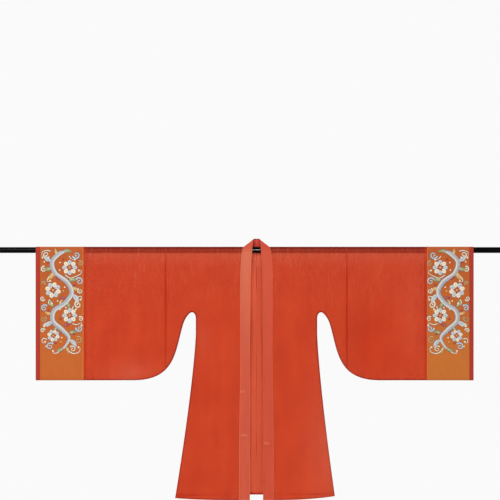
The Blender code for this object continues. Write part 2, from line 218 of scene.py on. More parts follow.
def half_gap(z):
    """How far the front and back lie from the middle at a height below the rod."""
    spread = np.exp(np.minimum(z, 0) / CLOSING_DEPTH)
    return LAYER_HALF_GAP + (WRAP_RADIUS - LAYER_HALF_GAP) * spread


def sway(x, z):
    growth = smooth(z / FRONT_HEM_Z)
    return growth * sum(
        size * np.sin(2 * math.pi * x / length + shift) for size, length, shift in SWAY_TABLE
    )


def creases(layer, x, z):
    """The listed creases of one layer, and its slight unevenness."""
    height = np.zeros(np.broadcast(x, z).shape)
    for x0, z0, x1, z1, half_width, rise in CREASES[layer]:
        run = np.array((x1 - x0, z1 - z0))
        along = ((x - x0) * run[0] + (z - z0) * run[1]) / (run @ run)
        off = np.abs((x - x0) * run[1] - (z - z0) * run[0]) / math.hypot(*run)
        length = np.sin(math.pi * np.clip(along, 0, 1)) ** CREASE_ROUNDNESS
        height += rise * smooth(1 - off / half_width) * length
    for across, down, shift, size in RIPPLES:
        height += size * np.sin(across * x + down * z + shift + RIPPLE_SHIFT[layer])
    return height * smooth(-z / CREASE_SETTLE)


def folds(layer, x, z):
    height = creases(layer, x, z)
    for middle, half_width, depth, top, bottom in FOLDS[layer]:
        down = np.clip((top - z) / (top - bottom), 0, 1)
        height = height + depth * smooth(1 - np.abs(x - middle) / half_width) * np.sin(math.pi * down)
    return height


def layer_y(layer, x, z, lift=0.0):
    """Where the front or back lies. A lift is outwards, away from the other layer."""
    return sway(x, z) + OUTWARD[layer] * (half_gap(z) + folds(layer, x, z) + lift)


for layer in CREASES:
    print(layer, "creases:", len(CREASES[layer]), "folds:", len(FOLDS[layer]))

# %% [markdown]
# ## The outline
# The underarm is one smooth curve from the sleeve's lower edge up to a narrow slot beside
# the body, and down the side seam again. It is drawn with Bezier curves, as a tailor would
# draw it on paper. At the outline the front turns into the back in a small half round.

# %% Outline of one half
UNDERARM_STEPS = 30
SLOT_OUTER_STEPS = 9
SLOT_INNER_STEPS = 6
SIDE_STEPS = 90
UPPER_ROWS = 40
LOWER_ROWS = SLOT_INNER_STEPS + SIDE_STEPS
SLOT_TOP = UNDERARM_STEPS + SLOT_OUTER_STEPS
CURVE_SAMPLES = 400
SLOPE_STEP = 0.001


def bezier(curve, t):
    """Points and directions of a Bezier curve, as rows of (out, z)."""
    a, b, c, d = (np.array(point) for point in curve)
    t = np.asarray(t, dtype=float)[:, None]
    point = (1 - t) ** 3 * a + 3 * (1 - t) ** 2 * t * b + 3 * (1 - t) * t**2 * c + t**3 * d
    slope = (1 - t) ** 2 * (b - a) + 2 * (1 - t) * t * (c - b) + t**2 * (d - c)
    return point, slope


def underarm_share(out):
    """Where along the underarm curve a distance out is reached."""
    shares = np.linspace(0, 1, CURVE_SAMPLES)
    outs = bezier(UNDERARM_CURVE, shares)[0][:, 0]
    return np.interp(out, outs[::-1], shares[::-1])


def side_out(side, z):
    share = np.clip((FLARE_START_Z - z) / (FLARE_START_Z - side["corner_z"]), 0, None)
    return mix(CHEST_OUT, side["corner_out"], share**FLARE_POWER)


def hem_z(side, layer, out):
    middle = FRONT_HEM_Z if layer == "front" else BACK_HEM_Z
    return mix(middle, side["corner_z"], (np.asarray(out) / side["corner_out"]) ** HEM_POWER)


def outline(side):
    """The outermost points, and where the layers' flat part ends, both as (out, z)."""
    start = underarm_share(side["sleeve_seam"])
    runs = [
        bezier(UNDERARM_CURVE, np.linspace(start, 1, UNDERARM_STEPS, endpoint=False)),
        bezier(SLOT_OUTER_CURVE, np.linspace(0, 1, SLOT_OUTER_STEPS, endpoint=False)),
        bezier(SLOT_INNER_CURVE, np.linspace(0, 1, SLOT_INNER_STEPS, endpoint=False)),
    ]
    z = np.linspace(SLOT_INNER_CURVE[3][1], side["corner_z"], SIDE_STEPS + 1)
    below = z - SLOPE_STEP
    down = np.stack([side_out(side, below) - side_out(side, z), below - z], axis=1)
    runs.append((np.stack([side_out(side, z), z], axis=1), down))
    tips = np.concatenate([points for points, _ in runs])
    ways = np.concatenate([slopes for _, slopes in runs])
    inward = np.stack([ways[:, 1], -ways[:, 0]], axis=1)
    inward = inward / np.hypot(ways[:, 0], ways[:, 1])[:, None]
    ends = tips + inward * half_gap(tips[:, 1])[:, None]
    ends[0] = side["sleeve_seam"], tips[0, 1] + half_gap(tips[0, 1]) / inward[0, 1]
    ends[-1, 1] = hem_z(side, "front", ends[-1, 0])
    return tips, ends


for word, side in SIDES.items():
    tips = outline(side)[0]
    print(word, "outline points:", len(tips), "slot top", tips[SLOT_TOP].round(4))

# %% [markdown]
# ## Making a piece of cloth
# A piece of cloth could be one plane shaped by hand, but a robe's panels meet along curves
# that have to match to a tenth of a millimetre. So each stretch starts as Blender's own
# grid, and its vertices are laid on points worked out from the functions above. The
# stretches are joined, their shared edges merged, and a Solidify modifier gives the cloth
# its thickness. The grid brings a UV map, which is stretched to metres, so that threads and
# stitches can later follow the cloth.

# %% Tools for cloth
WELD_DISTANCE = 0.00001
SHARP_ANGLE = math.radians(55)


def select(*pieces):
    """Selects these pieces and nothing else, with the first one active."""
    bpy.ops.object.select_all(action="DESELECT")
    for piece in reversed(pieces):
        piece.select_set(True)
        bpy.context.view_layer.objects.active = piece


def lay_grid(points, uv_width=None):
    """A grid of faces through rows of points, with a UV map in metres."""
    rows, columns = points.shape[:2]
    select()
    bpy.ops.mesh.primitive_grid_add(x_subdivisions=columns - 1, y_subdivisions=rows - 1, size=1)
    piece = bpy.context.object
    piece.data.vertices.foreach_set("co", np.ascontiguousarray(points, dtype=np.float32).ravel())
    width = uv_width or np.linalg.norm(np.diff(points, axis=1), axis=2).sum(axis=1).max()
    length = np.linalg.norm(np.diff(points, axis=0), axis=2).sum(axis=0).max()
    layer = piece.data.uv_layers[0].data
    flat = np.empty(len(layer) * 2, dtype=np.float32)
    layer.foreach_get("uv", flat)
    flat[0::2] *= width
    flat[1::2] *= length
    layer.foreach_set("uv", flat)
    piece.data.update()
    return piece


def gather(pieces, name):
    """Joins pieces into one and merges nothing."""
    select(*pieces)
    if len(pieces) > 1:
        bpy.ops.object.join()
    whole = bpy.context.object
    whole.name = whole.data.name = name
    return whole


def join(stretches, name):
    """Joins stretches into one piece, merges their shared edges and turns its faces one way."""
    piece = gather(stretches, name)
    bpy.ops.object.mode_set(mode="EDIT")
    bpy.ops.mesh.select_all(action="SELECT")
    bpy.ops.mesh.remove_doubles(threshold=WELD_DISTANCE)
    bpy.ops.mesh.normals_make_consistent(inside=False)
    bpy.ops.object.mode_set(mode="OBJECT")
    return piece


def thicken(piece, wall, *finishes):
    """Gives a sheet its thickness, half to each side, soft shading and its finish."""
    select(piece)
    for finish in finishes:
        piece.data.materials.append(finish)
    shell = piece.modifiers.new("wall", "SOLIDIFY")
    shell.thickness = wall
    shell.offset = 0
    bpy.ops.object.modifier_apply(modifier="wall")
    bpy.ops.object.shade_smooth_by_angle(angle=SHARP_ANGLE)
    return piece


def placed(sign, out, y, z):
    """Points from a distance out, a depth and a height, whatever their shapes."""
    out, y, z = np.broadcast_arrays(out, y, z)
    return np.stack([sign * out, y, z], axis=-1)


def on_layer(side, layer, out, z, lift=0.0):
    """Points of the front or back, from a distance out and a height."""
    return placed(side["sign"], out, layer_y(layer, side["sign"] * out, z, lift), z)


# %% [markdown]
# ## Colours and nodes
# Every finish starts from the name of a real material. Colours are written as sRGB hex
# values, as on a dyer's card, and turned to the linear values that shaders work in. One
# helper adds a node, sets it, links it and hands back one of its outputs. The helpers after
# it each make something that cloth has: an uneven patch, colours laid over one another, a
# plain weave, a thin line beside an edge, or a surface with a low relief.

# %% Colours and nodes
WEAVE_STRAYS = 1.5
LINE_CORE = 0.35


def linear(hex_colour):
    values = [int(hex_colour[k : k + 2], 16) / 255 for k in (0, 2, 4)]
    return (*[v / 12.92 if v <= 0.04045 else ((v + 0.055) / 1.055) ** 2.4 for v in values], 1.0)


def node(tree, kind, inputs=None, out=0, **settings):
    """Adds a node with its settings and links, and gives one of its outputs."""
    added = tree.nodes.new(kind)
    for key, value in settings.items():
        setattr(added, key, value)
    for key, value in (inputs or {}).items():
        if isinstance(value, bpy.types.NodeSocket):
            tree.links.new(value, added.inputs[key])
        else:
            added.inputs[key].default_value = value
    return added.outputs[out] if added.outputs else None


def start_material(name):
    """An empty material, its nodes, and the place of each point in metres."""
    material = bpy.data.materials.new(name)
    material.use_nodes = True
    material.node_tree.nodes.clear()
    return material, material.node_tree, node(material.node_tree, "ShaderNodeTexCoord", out="Object")


def uneven(tree, place, size, low, high, detail=2.0):
    """How much a soft random pattern shows. Size is one grain's width along each axis, in metres."""
    scaled = node(tree, "ShaderNodeMapping", {"Vector": place, "Scale": [1 / s for s in size]})
    grain = node(tree, "ShaderNodeTexNoise", {"Vector": scaled, "Scale": 1.0, "Detail": detail})
    return node(tree, "ShaderNodeMapRange", {0: grain, 1: low, 2: high})


def layered(tree, under, *layers):
    """Lays colours over one another in turn, each as far as its pattern shows there."""
    under = linear(under) if isinstance(under, str) else under
    for colour, where, strength in layers:
        over = linear(colour) if isinstance(colour, str) else colour
        share = node(tree, "ShaderNodeMath", {0: where, 1: strength}, operation="MULTIPLY")
        under = node(tree, "ShaderNodeMix", {0: share, 6: under, 7: over}, out=2, data_type="RGBA")
    return under


def woven(tree, place, spacing):
    """A plain weave: highest where a thread along Z crosses one along X."""
    look = {"Vector": place, "Scale": math.pi / 10 / spacing, "Distortion": WEAVE_STRAYS, "Detail": 1.0}
    warp = node(tree, "ShaderNodeTexWave", look, out="Fac", bands_direction="X")
    weft = node(tree, "ShaderNodeTexWave", look, out="Fac", bands_direction="Z")
    return node(tree, "ShaderNodeMath", {0: warp, 1: weft}, operation="MULTIPLY")


def line_at(tree, value, middle, half_width):
    """One where a value is at the middle, falling to nothing at a half width away."""
    off = node(tree, "ShaderNodeMath", {0: value, 1: middle}, operation="SUBTRACT")
    away = node(tree, "ShaderNodeMath", {0: off}, operation="ABSOLUTE")
    return node(tree, "ShaderNodeMapRange", {0: away, 1: half_width, 2: half_width * LINE_CORE})


def surface(tree, colour, raised, strength, distance, look):
    """A surface of one colour with a low relief. Distance is the relief's height in metres."""
    relief = node(tree, "ShaderNodeBump", {"Height": raised, "Strength": strength, "Distance": distance})
    return node(tree, "ShaderNodeBsdfPrincipled", look | {"Base Color": colour, "Normal": relief})


print("check of linear:", [round(v, 3) for v in linear("808080")[:3]])

# %% [markdown]
# ## Silk gauze
# Gauze is an open plain weave of twisted silk, dyed red. It is sheer: light comes through
# between the threads, so what lies behind shows, stained by the cloth, and two layers look
# deeper than one. A real weave has a hole every 0.4 mm, far too fine to draw, so the shader
# mixes a tinted transparent part with a matt thread part. Silk thread is uneven: thick
# places, called slubs, catch light as short upright dashes, mostly near the shoulder, and
# a few deeper ones lie between them. The dye has taken a little unevenly too. The colour
# also changes in wide soft patches, which a short table places, and takes a second tone
# towards the top. Round the rod, light and shade are painted into the colour: a paler band
# just under it is a painted highlight, and a darker red on it and a dark band along its top
# are painted shade. The patches also paint a soft shade along each sleeve seam. The threads
# are drawn 5 mm apart instead of 0.4 mm, coarse enough to show.

# %% Silk gauze
GAUZE_STAIN = "F4C2AA"
GAUZE_PALE = "F0A488"
GAUZE_DEEP = "8E2A18"
GAUZE_LIT = "FF8060"
GAUZE_RICH = "D23418"
# Painted shade: a dark band along the top of the rod, where the cloth bends over it.
SHOULDER_PAINTED_SHADE = "34100A"
# Painted shade: a darker red where the rod lies behind the cloth.
ROD_PAINTED_SHADE = "BE2E18"
SEAM_SHADE = "A82E1E"
THREAD_SPACING = 0.005
THREAD_COVER = 0.06
SLUB_SIZE = (0.0048, 0.020, 0.055)
DEEP_SLUB_SIZE = (0.0046, 0.024, 0.060)
STREAK_SIZE = (0.028, 0.050, 0.600)
BLOTCH_SIZE = (0.110, 0.200, 0.150)
# Zones of height. The last three carry painted light and shade: a painted highlight under the rod, and
# painted shade on it and along its top.
GAUZE_ZONES = (  # height where each starts and where it is full, least share
    (-0.34, -0.04, 0.12),  # near the top
    (-0.085, -0.018, 0.0),  # under the rod
    (-0.019, -0.012, 0.0),  # on the rod
    (0.0045, 0.0085, 0.0),  # over the rod
)
PATCHES = (  # middle x and z, reach along x and z, colour, share
    (-0.600, -0.590, 0.230, 0.120, GAUZE_PALE, 0.26),
    (-0.250, -0.420, 0.080, 0.180, GAUZE_PALE, 0.10),
    (0.470, -0.400, 0.260, 0.380, GAUZE_DEEP, 0.24),
    (0.560, -0.450, 0.300, 0.380, GAUZE_RICH, 0.40),
    (0.360, -0.960, 0.240, 0.660, GAUZE_PALE, 0.30),
    (0.740, -0.300, 0.120, 0.500, GAUZE_PALE, 0.10),
    # Painted shade: soft darker bands along both sleeve seams, beside the doubled seam strips.
    (-0.436, -0.230, 0.022, 0.440, GAUZE_RICH, 0.70),
    (0.4315, -0.230, 0.016, 0.440, GAUZE_RICH, 0.70),
    (-0.436, -0.300, 0.050, 0.420, GAUZE_DEEP, 0.08),
    (0.118, -0.520, 0.070, 0.240, GAUZE_DEEP, 0.16),
)
# Painted light on the facing: paler patches lift the shade that the neckbands and the rod cast on the back
# between the bands. The last row is darker just above the back hem.
FACING_PATCHES_PAINTED_LIGHT = (
    (-0.0255, -0.160, 0.036, 0.320, GAUZE_LIT, 1.50),
    (-0.0285, -0.720, 0.022, 0.500, GAUZE_LIT, 1.10),
    (-0.0300, -1.080, 0.024, 0.300, GAUZE_LIT, 1.20),
    (-0.0120, -0.028, 0.070, 0.060, GAUZE_LIT, 1.50),
    (0.000, -1.171, 0.120, 0.016, GAUZE_RICH, 1.60),
)
# The centre back seam is darker in three stretches, and so is the darker strip beside it.
SEAM_PATCHES = (
    (0.0000, -0.115, 0.012, 0.170, SEAM_SHADE, 1.00),
    (0.0000, -0.600, 0.012, 0.360, SEAM_SHADE, 0.60),
    (-0.002, -0.935, 0.012, 0.130, SEAM_SHADE, 1.00),
    (0.0255, -0.290, 0.012, 0.460, SEAM_SHADE, 0.80),
)


def make_gauze(name, colour, deep, top_tone, cover_share, patches=PATCHES):
    material, tree, place = start_material(name)
    height = node(tree, "ShaderNodeSeparateXYZ", {0: place}, out="Z")
    near_top, painted_light_under_rod, painted_shade_on_rod, painted_shade_over_rod = (
        node(tree, "ShaderNodeMapRange", {0: height, 1: start, 2: full, 3: least})
        for start, full, least in GAUZE_ZONES
    )
    streaks = uneven(tree, place, STREAK_SIZE, 0.30, 0.70)
    blotches = uneven(tree, place, BLOTCH_SIZE, 0.32, 0.68, detail=4.0)
    worn = node(tree, "ShaderNodeMix", {0: 0.6, 2: streaks, 3: blotches})
    pale_slubs = uneven(tree, place, SLUB_SIZE, 0.56, 0.72)
    deep_slubs = uneven(tree, place, DEEP_SLUB_SIZE, 0.45, 0.30)
    slubs = node(tree, "ShaderNodeMath", {0: pale_slubs, 1: near_top}, operation="MULTIPLY")
    dents = node(tree, "ShaderNodeMath", {0: deep_slubs, 1: near_top}, operation="MULTIPLY")
    # Towards the top the gauze takes a second tone.
    dyed = layered(tree, deep, (colour, worn, 1.0), (top_tone, near_top, 0.5))
    for x, z, reach_x, reach_z, shade, share in patches:
        spread = {"Location": (-x / reach_x, 0, -z / reach_z), "Scale": (1 / reach_x, 0, 1 / reach_z)}
        centred = node(tree, "ShaderNodeMapping", spread | {"Vector": place})
        patch = node(tree, "ShaderNodeTexGradient", {0: centred}, "Fac", gradient_type="QUADRATIC_SPHERE")
        dyed = layered(tree, dyed, (shade, patch, share))
    # Painted light and shade round the rod, then the slubs and dents of the thread.
    dyed = layered(
        tree, dyed, (GAUZE_PALE, painted_light_under_rod, 0.16), (ROD_PAINTED_SHADE, painted_shade_on_rod, 0.60), (GAUZE_PALE, slubs, 0.30),
        (GAUZE_DEEP, dents, 0.22), (SHOULDER_PAINTED_SHADE, painted_shade_over_rod, 0.56),
    )  # fmt: skip
    weave = woven(tree, place, THREAD_SPACING)
    closed = {0: weave, 1: THREAD_COVER, 2: cover_share}
    cover = node(tree, "ShaderNodeMath", closed, operation="MULTIPLY_ADD")
    look = {"Roughness": 0.8, "Specular IOR Level": 0.1, "Sheen Weight": 0.06, "Sheen Roughness": 0.5}
    thread = surface(tree, dyed, weave, 0.12, 0.0004, look)
    holes = node(tree, "ShaderNodeBsdfTransparent", {"Color": linear(GAUZE_STAIN)})
    mixed = node(tree, "ShaderNodeMixShader", {0: cover, 1: holes, 2: thread})
    node(tree, "ShaderNodeOutputMaterial", {"Surface": mixed})
    return material


silk_gauze = make_gauze("silk_gauze_red", "DA5834", "C6442C", "CA5038", 0.29)
# The facing's paler colour is partly painted light, against the shade between the neckbands.
facing_gauze = make_gauze("silk_gauze_facing_painted_light", "E26A4C", "D66244", "E26A4C", 0.45, FACING_PATCHES_PAINTED_LIGHT)
rolled_gauze = make_gauze("silk_gauze_rolled", "B23826", "A22E1C", "B23826", 0.55)
seam_gauze = make_gauze("silk_gauze_seam", "EC6E54", "E4664C", "EC6E54", 0.42, SEAM_PATCHES)
print("gauze nodes:", len(silk_gauze.node_tree.nodes))

# %% [markdown]
# ## Doubled silk of the neckband
# The neckband is the same dyed silk in a closer weave, folded double over a stiffener, so
# nothing shows through and it looks a shade paler and flatter. Its finish follows its own
# UV map: across the band and along it, in metres. Two rows of running stitch show as fine
# darker lines a few millimetres in from the edges. The edges are painted paler, a painted
# highlight along the folded edges. Where the band bends over the rod it is painted deeper,
# as painted shade, and a dark line runs along each edge there. A few short creases cross the
# bands, each painted as a pale highlight over a darker shade. The inner side at the back of
# the neck was kept from light, and is a deeper red.

# %% Doubled silk
NECKBAND_WIDTH = 0.052
STITCH_IN = 0.0065
STITCH_HALF = 0.0016
EDGE_LINE_HALF = 0.0034
NECKBAND_THREAD = 0.0045
NECKBAND_BLOTCH = (0.050, 0.200, 0.180)
NECKBAND_FIBRE = (0.0045, 0.010, 0.070)
# The second zone is painted shade where the band bends over the rod.
NECKBAND_ZONES = ((-0.55, -0.05), (-0.012, 0.010))  # bleached, and bent over the rod
BAND_OUTLINE = "5E1A14"
# Sizes of the painted creases.
CREASE_HALF = 0.008
CREASE_DROP = 0.013
CREASE_REACH = 0.022
NECKBAND_SHADES = {  # silk, where it is deeper, where it is bleached and its painted edge highlight
    "left": ("BE5038", "B04632", "C46C50"),
    "right": ("BC4A32", "AE402C", "BC4E38"),
}
# Painted creases: each is a pale painted highlight over a darker painted shade.
PAINTED_BAND_CREASES = {  # height and middle across the band
    "left": ((-0.679, 0.010), (-0.888, 0.024)),
    "right": ((-0.927, 0.038),),
}


def make_neckband_silk(name, colour, deep, bleached_and_edge_highlight, creases=()):
    material, tree, place = start_material(name)
    across = node(tree, "ShaderNodeSeparateXYZ", {0: node(tree, "ShaderNodeTexCoord", out="UV")}, out="X")
    height = node(tree, "ShaderNodeSeparateXYZ", {0: place}, out="Z")
    bleached, painted_shade_over_rod = (
        node(tree, "ShaderNodeMapRange", {0: height, 1: start, 2: full}) for start, full in NECKBAND_ZONES
    )
    blotches = uneven(tree, place, NECKBAND_BLOTCH, 0.30, 0.70, detail=3.0)
    fibres = uneven(tree, place, NECKBAND_FIBRE, 0.25, 0.75)
    shade = node(tree, "ShaderNodeMix", {0: 0.45, 2: blotches, 3: fibres})
    stitches = line_at(tree, across, STITCH_IN, STITCH_HALF)
    far_stitches = line_at(tree, across, NECKBAND_WIDTH - STITCH_IN, STITCH_HALF)
    # The edges are painted paler: a painted highlight along the folded edges.
    edge, far_edge = (line_at(tree, across, at, EDGE_LINE_HALF) for at in (0.0, NECKBAND_WIDTH))
    dyed = layered(
        tree, deep, (colour, shade, 1.0), (bleached_and_edge_highlight, bleached, 0.6), (deep, painted_shade_over_rod, 0.75),
        (deep, stitches, 0.5), (deep, far_stitches, 0.5), (bleached_and_edge_highlight, edge, 0.6), (bleached_and_edge_highlight, far_edge, 0.6),
    )  # fmt: skip
    # Each painted crease: a pale highlight line with a darker shade line below it.
    for z, middle in creases:
        reach = line_at(tree, across, middle, CREASE_REACH)
        for line_z, shown, strength in ((z, GAUZE_PALE, 0.12), (z - CREASE_DROP, deep, 0.40)):
            line = line_at(tree, height, line_z, CREASE_HALF)
            share = node(tree, "ShaderNodeMath", {0: line, 1: reach}, operation="MULTIPLY")
            dyed = layered(tree, dyed, (shown, share, strength))
    # Over the rod the edges get a dark line.
    dyed = layered(tree, dyed, (BAND_OUTLINE, edge, painted_shade_over_rod), (BAND_OUTLINE, far_edge, painted_shade_over_rod))
    weave = woven(tree, place, NECKBAND_THREAD)
    raised = node(tree, "ShaderNodeMath", {0: weave, 1: fibres}, operation="ADD")
    look = {"Roughness": 0.75, "Specular IOR Level": 0.12, "Sheen Weight": 0.05, "Sheen Roughness": 0.45}
    silk = surface(tree, dyed, raised, 0.2, 0.0005, look)
    node(tree, "ShaderNodeOutputMaterial", {"Surface": silk})
    return material


neckband_silk = {
    word: make_neckband_silk(f"doubled_silk_{word}", *shades, PAINTED_BAND_CREASES[word])
    for word, shades in NECKBAND_SHADES.items()
}
neckband_inner = make_neckband_silk("doubled_silk_inner", "DC483E", "CA3E3A", "DC5046")

# %% [markdown]
# ## Silk satin of the cuffs
# Satin floats its warp threads over many wefts, so it is smooth and closed and catches a
# soft sheen along the threads. The cuff band is orange satin, the piping a paler one, and
# the band's allowance inside the sleeve a rose one that has taken up red dye. Fine lines
# run along the threads, and the satin is slightly uneven where the embroidery pulls at it.
# The lower part of each band is painted lighter, as painted light, and more golden on the
# right arm.
# The real threads are 0.15 mm apart and are drawn 3.5 mm apart, so that they show.

# %% Silk satin
SATIN_THREAD = 0.0035
SATIN_STRAYS = 2.5
SATIN_FIBRE = (0.0045, 0.010, 0.090)
SATIN_PULL = (0.030, 0.050, 0.040)
LOW_ZONE = (-0.10, -0.50)


def make_satin(name, colour, deep, lit, roughness=0.55, right_lit=None):
    material, tree, place = start_material(name)
    across = node(tree, "ShaderNodeSeparateXYZ", {0: place}, out="X")
    height = node(tree, "ShaderNodeSeparateXYZ", {0: place}, out="Z")
    right_arm = node(tree, "ShaderNodeMapRange", {0: across, 2: 0.1})
    low_down = node(tree, "ShaderNodeMapRange", {0: height, 1: LOW_ZONE[0], 2: LOW_ZONE[1]})
    scale = math.pi / 10 / SATIN_THREAD
    laid = {"Vector": place, "Scale": scale, "Distortion": SATIN_STRAYS, "Detail": 1.0}
    floats = node(tree, "ShaderNodeTexWave", laid, out="Fac", bands_direction="X")
    fibres = uneven(tree, place, SATIN_FIBRE, 0.25, 0.75)
    pulled = uneven(tree, place, SATIN_PULL, 0.32, 0.70, detail=3.0)
    shade = node(tree, "ShaderNodeMix", {0: 0.55, 2: fibres, 3: pulled})
    # Painted light: the lower part of the band is laid in the lighter colour, more golden on the right arm.
    lower = layered(tree, lit, (right_lit or lit, right_arm, 1.0))
    dyed = layered(tree, deep, (colour, shade, 1.0), (lower, low_down, 0.5))
    raised = node(tree, "ShaderNodeMath", {0: floats, 1: pulled}, operation="ADD")
    look = {"Roughness": roughness, "Specular IOR Level": 0.15, "Sheen Weight": 0.06, "Sheen Roughness": 0.4}
    satin = surface(tree, dyed, raised, 0.25, 0.0005, look)
    node(tree, "ShaderNodeOutputMaterial", {"Surface": satin})
    return material


cuff_satin = make_satin("silk_satin_orange", "AE5620", "9E4A1C", "B65E22", right_lit="B86E28")
piping_satin = make_satin("silk_satin_pale_orange", "C05E26", "B25422", "C4642A")
allowance_satin = make_satin("silk_satin_rose", "CC6850", "BC5C48", "CC6850", 0.65, right_lit="EC8868")

# %% [markdown]
# ## Binding of the cuffs
# The very edge is bound in plain red silk, folded over and stitched. Its outer fold is
# handled most, so it is darker there. The tube's UV map runs along the arm in its second
# direction, from the seam to the fold.

# %% Cuff binding
BINDING_FOLD = 0.0035
BINDING_STITCH = BINDING_FOLD * 0.7
BINDING_FIBRE = (0.0045, 0.006, 0.018)
BINDING_HANDLED = "7A1E1A"


def make_binding(name, colour, deep, width):
    material, tree, place = start_material(name)
    along = node(tree, "ShaderNodeSeparateXYZ", {0: node(tree, "ShaderNodeTexCoord", out="UV")}, out="Y")
    fibres = uneven(tree, place, BINDING_FIBRE, 0.2, 0.8, detail=3.0)
    fold = line_at(tree, along, width, BINDING_FOLD)
    stitch = line_at(tree, along, 0.0, BINDING_STITCH)
    handled = node(tree, "ShaderNodeMath", {0: fold, 1: stitch}, operation="MAXIMUM")
    dyed = layered(tree, deep, (colour, fibres, 1.0), (BINDING_HANDLED, handled, 0.6))
    raised = node(tree, "ShaderNodeMath", {0: fibres, 1: handled}, operation="SUBTRACT")
    look = {"Roughness": 0.7, "Specular IOR Level": 0.12, "Sheen Weight": 0.04}
    silk = surface(tree, dyed, raised, 0.3, 0.0006, look)
    node(tree, "ShaderNodeOutputMaterial", {"Surface": silk})
    return material


binding_silk = {
    word: make_binding(f"plain_silk_binding_{word}", "A43424", "942C1E", side["tip"] - side["edge_seam"])
    for word, side in SIDES.items()
}

# %% [markdown]
# ## Blackened steel
# The rod is mild steel tube, blackened in a hot salt bath and oiled. The oxide is part of
# the metal's own skin, so it mirrors as metal does, but very weakly, and stays dark all the
# way round to its edge. A faint ripple from drawing the tube and a few dull patches break
# up the one bright line that the light leaves along it.

# %% Blackened steel
PEEL_SIZE = (0.010, 0.005, 0.005)
DULL_SIZE = (0.090, 0.030, 0.030)

steel_black, tree, place = start_material("blackened_steel")
peel = uneven(tree, place, PEEL_SIZE, 0.0, 1.0)
dull = uneven(tree, place, DULL_SIZE, 0.35, 0.70, detail=3.0)
oxide = layered(tree, "0C0C0C", ("101010", dull, 1.0))
rough = node(tree, "ShaderNodeMapRange", {0: dull, 3: 0.12, 4: 0.17})
look = {"Metallic": 1.0, "Roughness": rough, "Specular Tint": linear("000000")}
steel = surface(tree, oxide, peel, 0.02, 0.001, look)
node(tree, "ShaderNodeOutputMaterial", {"Surface": steel})

# %% [markdown]
# ## Floss silk
# Floss is silk thread with no twist. Laid close, it shines like hair. Its colour is painted
# darker between the stitches, a painted shade in the grooves, so it looks bright along the
# stitches. Each thread runs straight across its stroke, so the lines follow the stroke's UV
# map and turn with it. Real floss is 0.3 mm thick and is drawn 2.6 mm thick here.

# %% Floss silk
FLOSS_SPACING = 0.0026
FLOSS_PATCH = (0.004, 0.004, 0.004)
SHADE_BETWEEN_STITCHES = 0.55
THREADS = {"silver": "C3C6C4", "mist": "8497AC", "cream": "EADFC4", "gold": "CF9C48",
           "olive": "93905A", "crimson": "A3202E", "navy": "3E4660"}  # fmt: skip


def make_floss(thread, colour):
    material, tree, place = start_material(f"floss_silk_{thread}")
    along = node(tree, "ShaderNodeTexCoord", out="UV")
    laid = {"Vector": along, "Scale": math.pi / 10 / FLOSS_SPACING, "Distortion": 1.0, "Detail": 1.0}
    stitches = node(tree, "ShaderNodeTexWave", laid, out="Fac", bands_direction="Y")
    patchy = uneven(tree, place, FLOSS_PATCH, 0.0, 1.0)
    shade = node(tree, "ShaderNodeMix", {0: 0.4, 2: stitches, 3: patchy})
    # Painted shade: the colour between the stitches is darkened.
    between = (*[value * SHADE_BETWEEN_STITCHES for value in linear(colour)[:3]], 1.0)
    dyed = layered(tree, between, (colour, shade, 1.0))
    look = {"Roughness": 0.42, "Specular IOR Level": 0.45, "Sheen Weight": 0.15}
    silk = surface(tree, dyed, stitches, 0.35, 0.0005, look)
    node(tree, "ShaderNodeOutputMaterial", {"Surface": silk})
    return material


thread_materials = {thread: make_floss(thread, colour) for thread, colour in THREADS.items()}
print("materials:", len(bpy.data.materials))

# %% [markdown]
# ## The two halves of the body
# Each half is one length of gauze that runs from the front hem over the rod to the back
# hem, with no shoulder seam. Real gauze is about 0.2 mm thick; the shell here is 0.5 mm so
# that its two faces stay apart in the render.

# %% Body halves
GAUZE_WALL = 0.0005
BODY_COLUMNS = 30
ROD_WRAP_STEPS = 16
TURN_STEPS = 8
QUARTER = ROD_WRAP_STEPS // 2
WRAP_STEP = math.pi / ROD_WRAP_STEPS
BACK_NECK_SHARES = np.array((1, 0.96, 0.92, 0.88, 0.82, 0.74, 0.65, 0.55, 0.45, 0.35, 0.25, 0.15, 0.07, 0))
NECKBAND_FOOT_OUT = NECKBAND_TABLE[-1, 1]


def table_value(z, column):
    return np.interp(-z, -NECKBAND_TABLE[:, 0], NECKBAND_TABLE[:, column])


def even_z(side, layer, row, out):
    """The height of a row of the body, away from the side seam."""
    upper = ARMPIT_Z * np.minimum(row, UPPER_ROWS) / UPPER_ROWS
    lower = np.clip((row - UPPER_ROWS) / LOWER_ROWS, 0, 1)
    return np.where(row <= UPPER_ROWS, upper, mix(ARMPIT_Z, hem_z(side, layer, out), lower))


def body_panel(side, layer, ends):
    """The front or back between the side seam and the front edge."""
    row = np.arange(UPPER_ROWS + LOWER_ROWS + 1)[:, None]
    share = np.linspace(0, 1, BODY_COLUMNS + 1)[None, :]
    seam = ends[SLOT_TOP + np.maximum(row[:, 0] - UPPER_ROWS, 0)]
    seam_out = seam[:, :1]
    seam_z = seam[:, 1:] * np.minimum(row / UPPER_ROWS, 1)
    inner = table_value(even_z(side, layer, row, NECKBAND_FOOT_OUT), 1) + SEAM_GAP
    out = mix(seam_out, inner, share)
    away = seam_z - even_z(side, layer, row, seam_out)
    away[-1] = 0
    z = even_z(side, layer, row, out) + away * (1 - smooth(share))
    return on_layer(side, layer, out, z)


def body_sleeve_head(side, layer, ends):
    """The part of the body above the underarm curve."""
    z = ends[None, : SLOT_TOP + 1, 1] * np.linspace(0, 1, UPPER_ROWS + 1)[:, None]
    out = ends[None, : SLOT_TOP + 1, 0]
    return on_layer(side, layer, out, z)


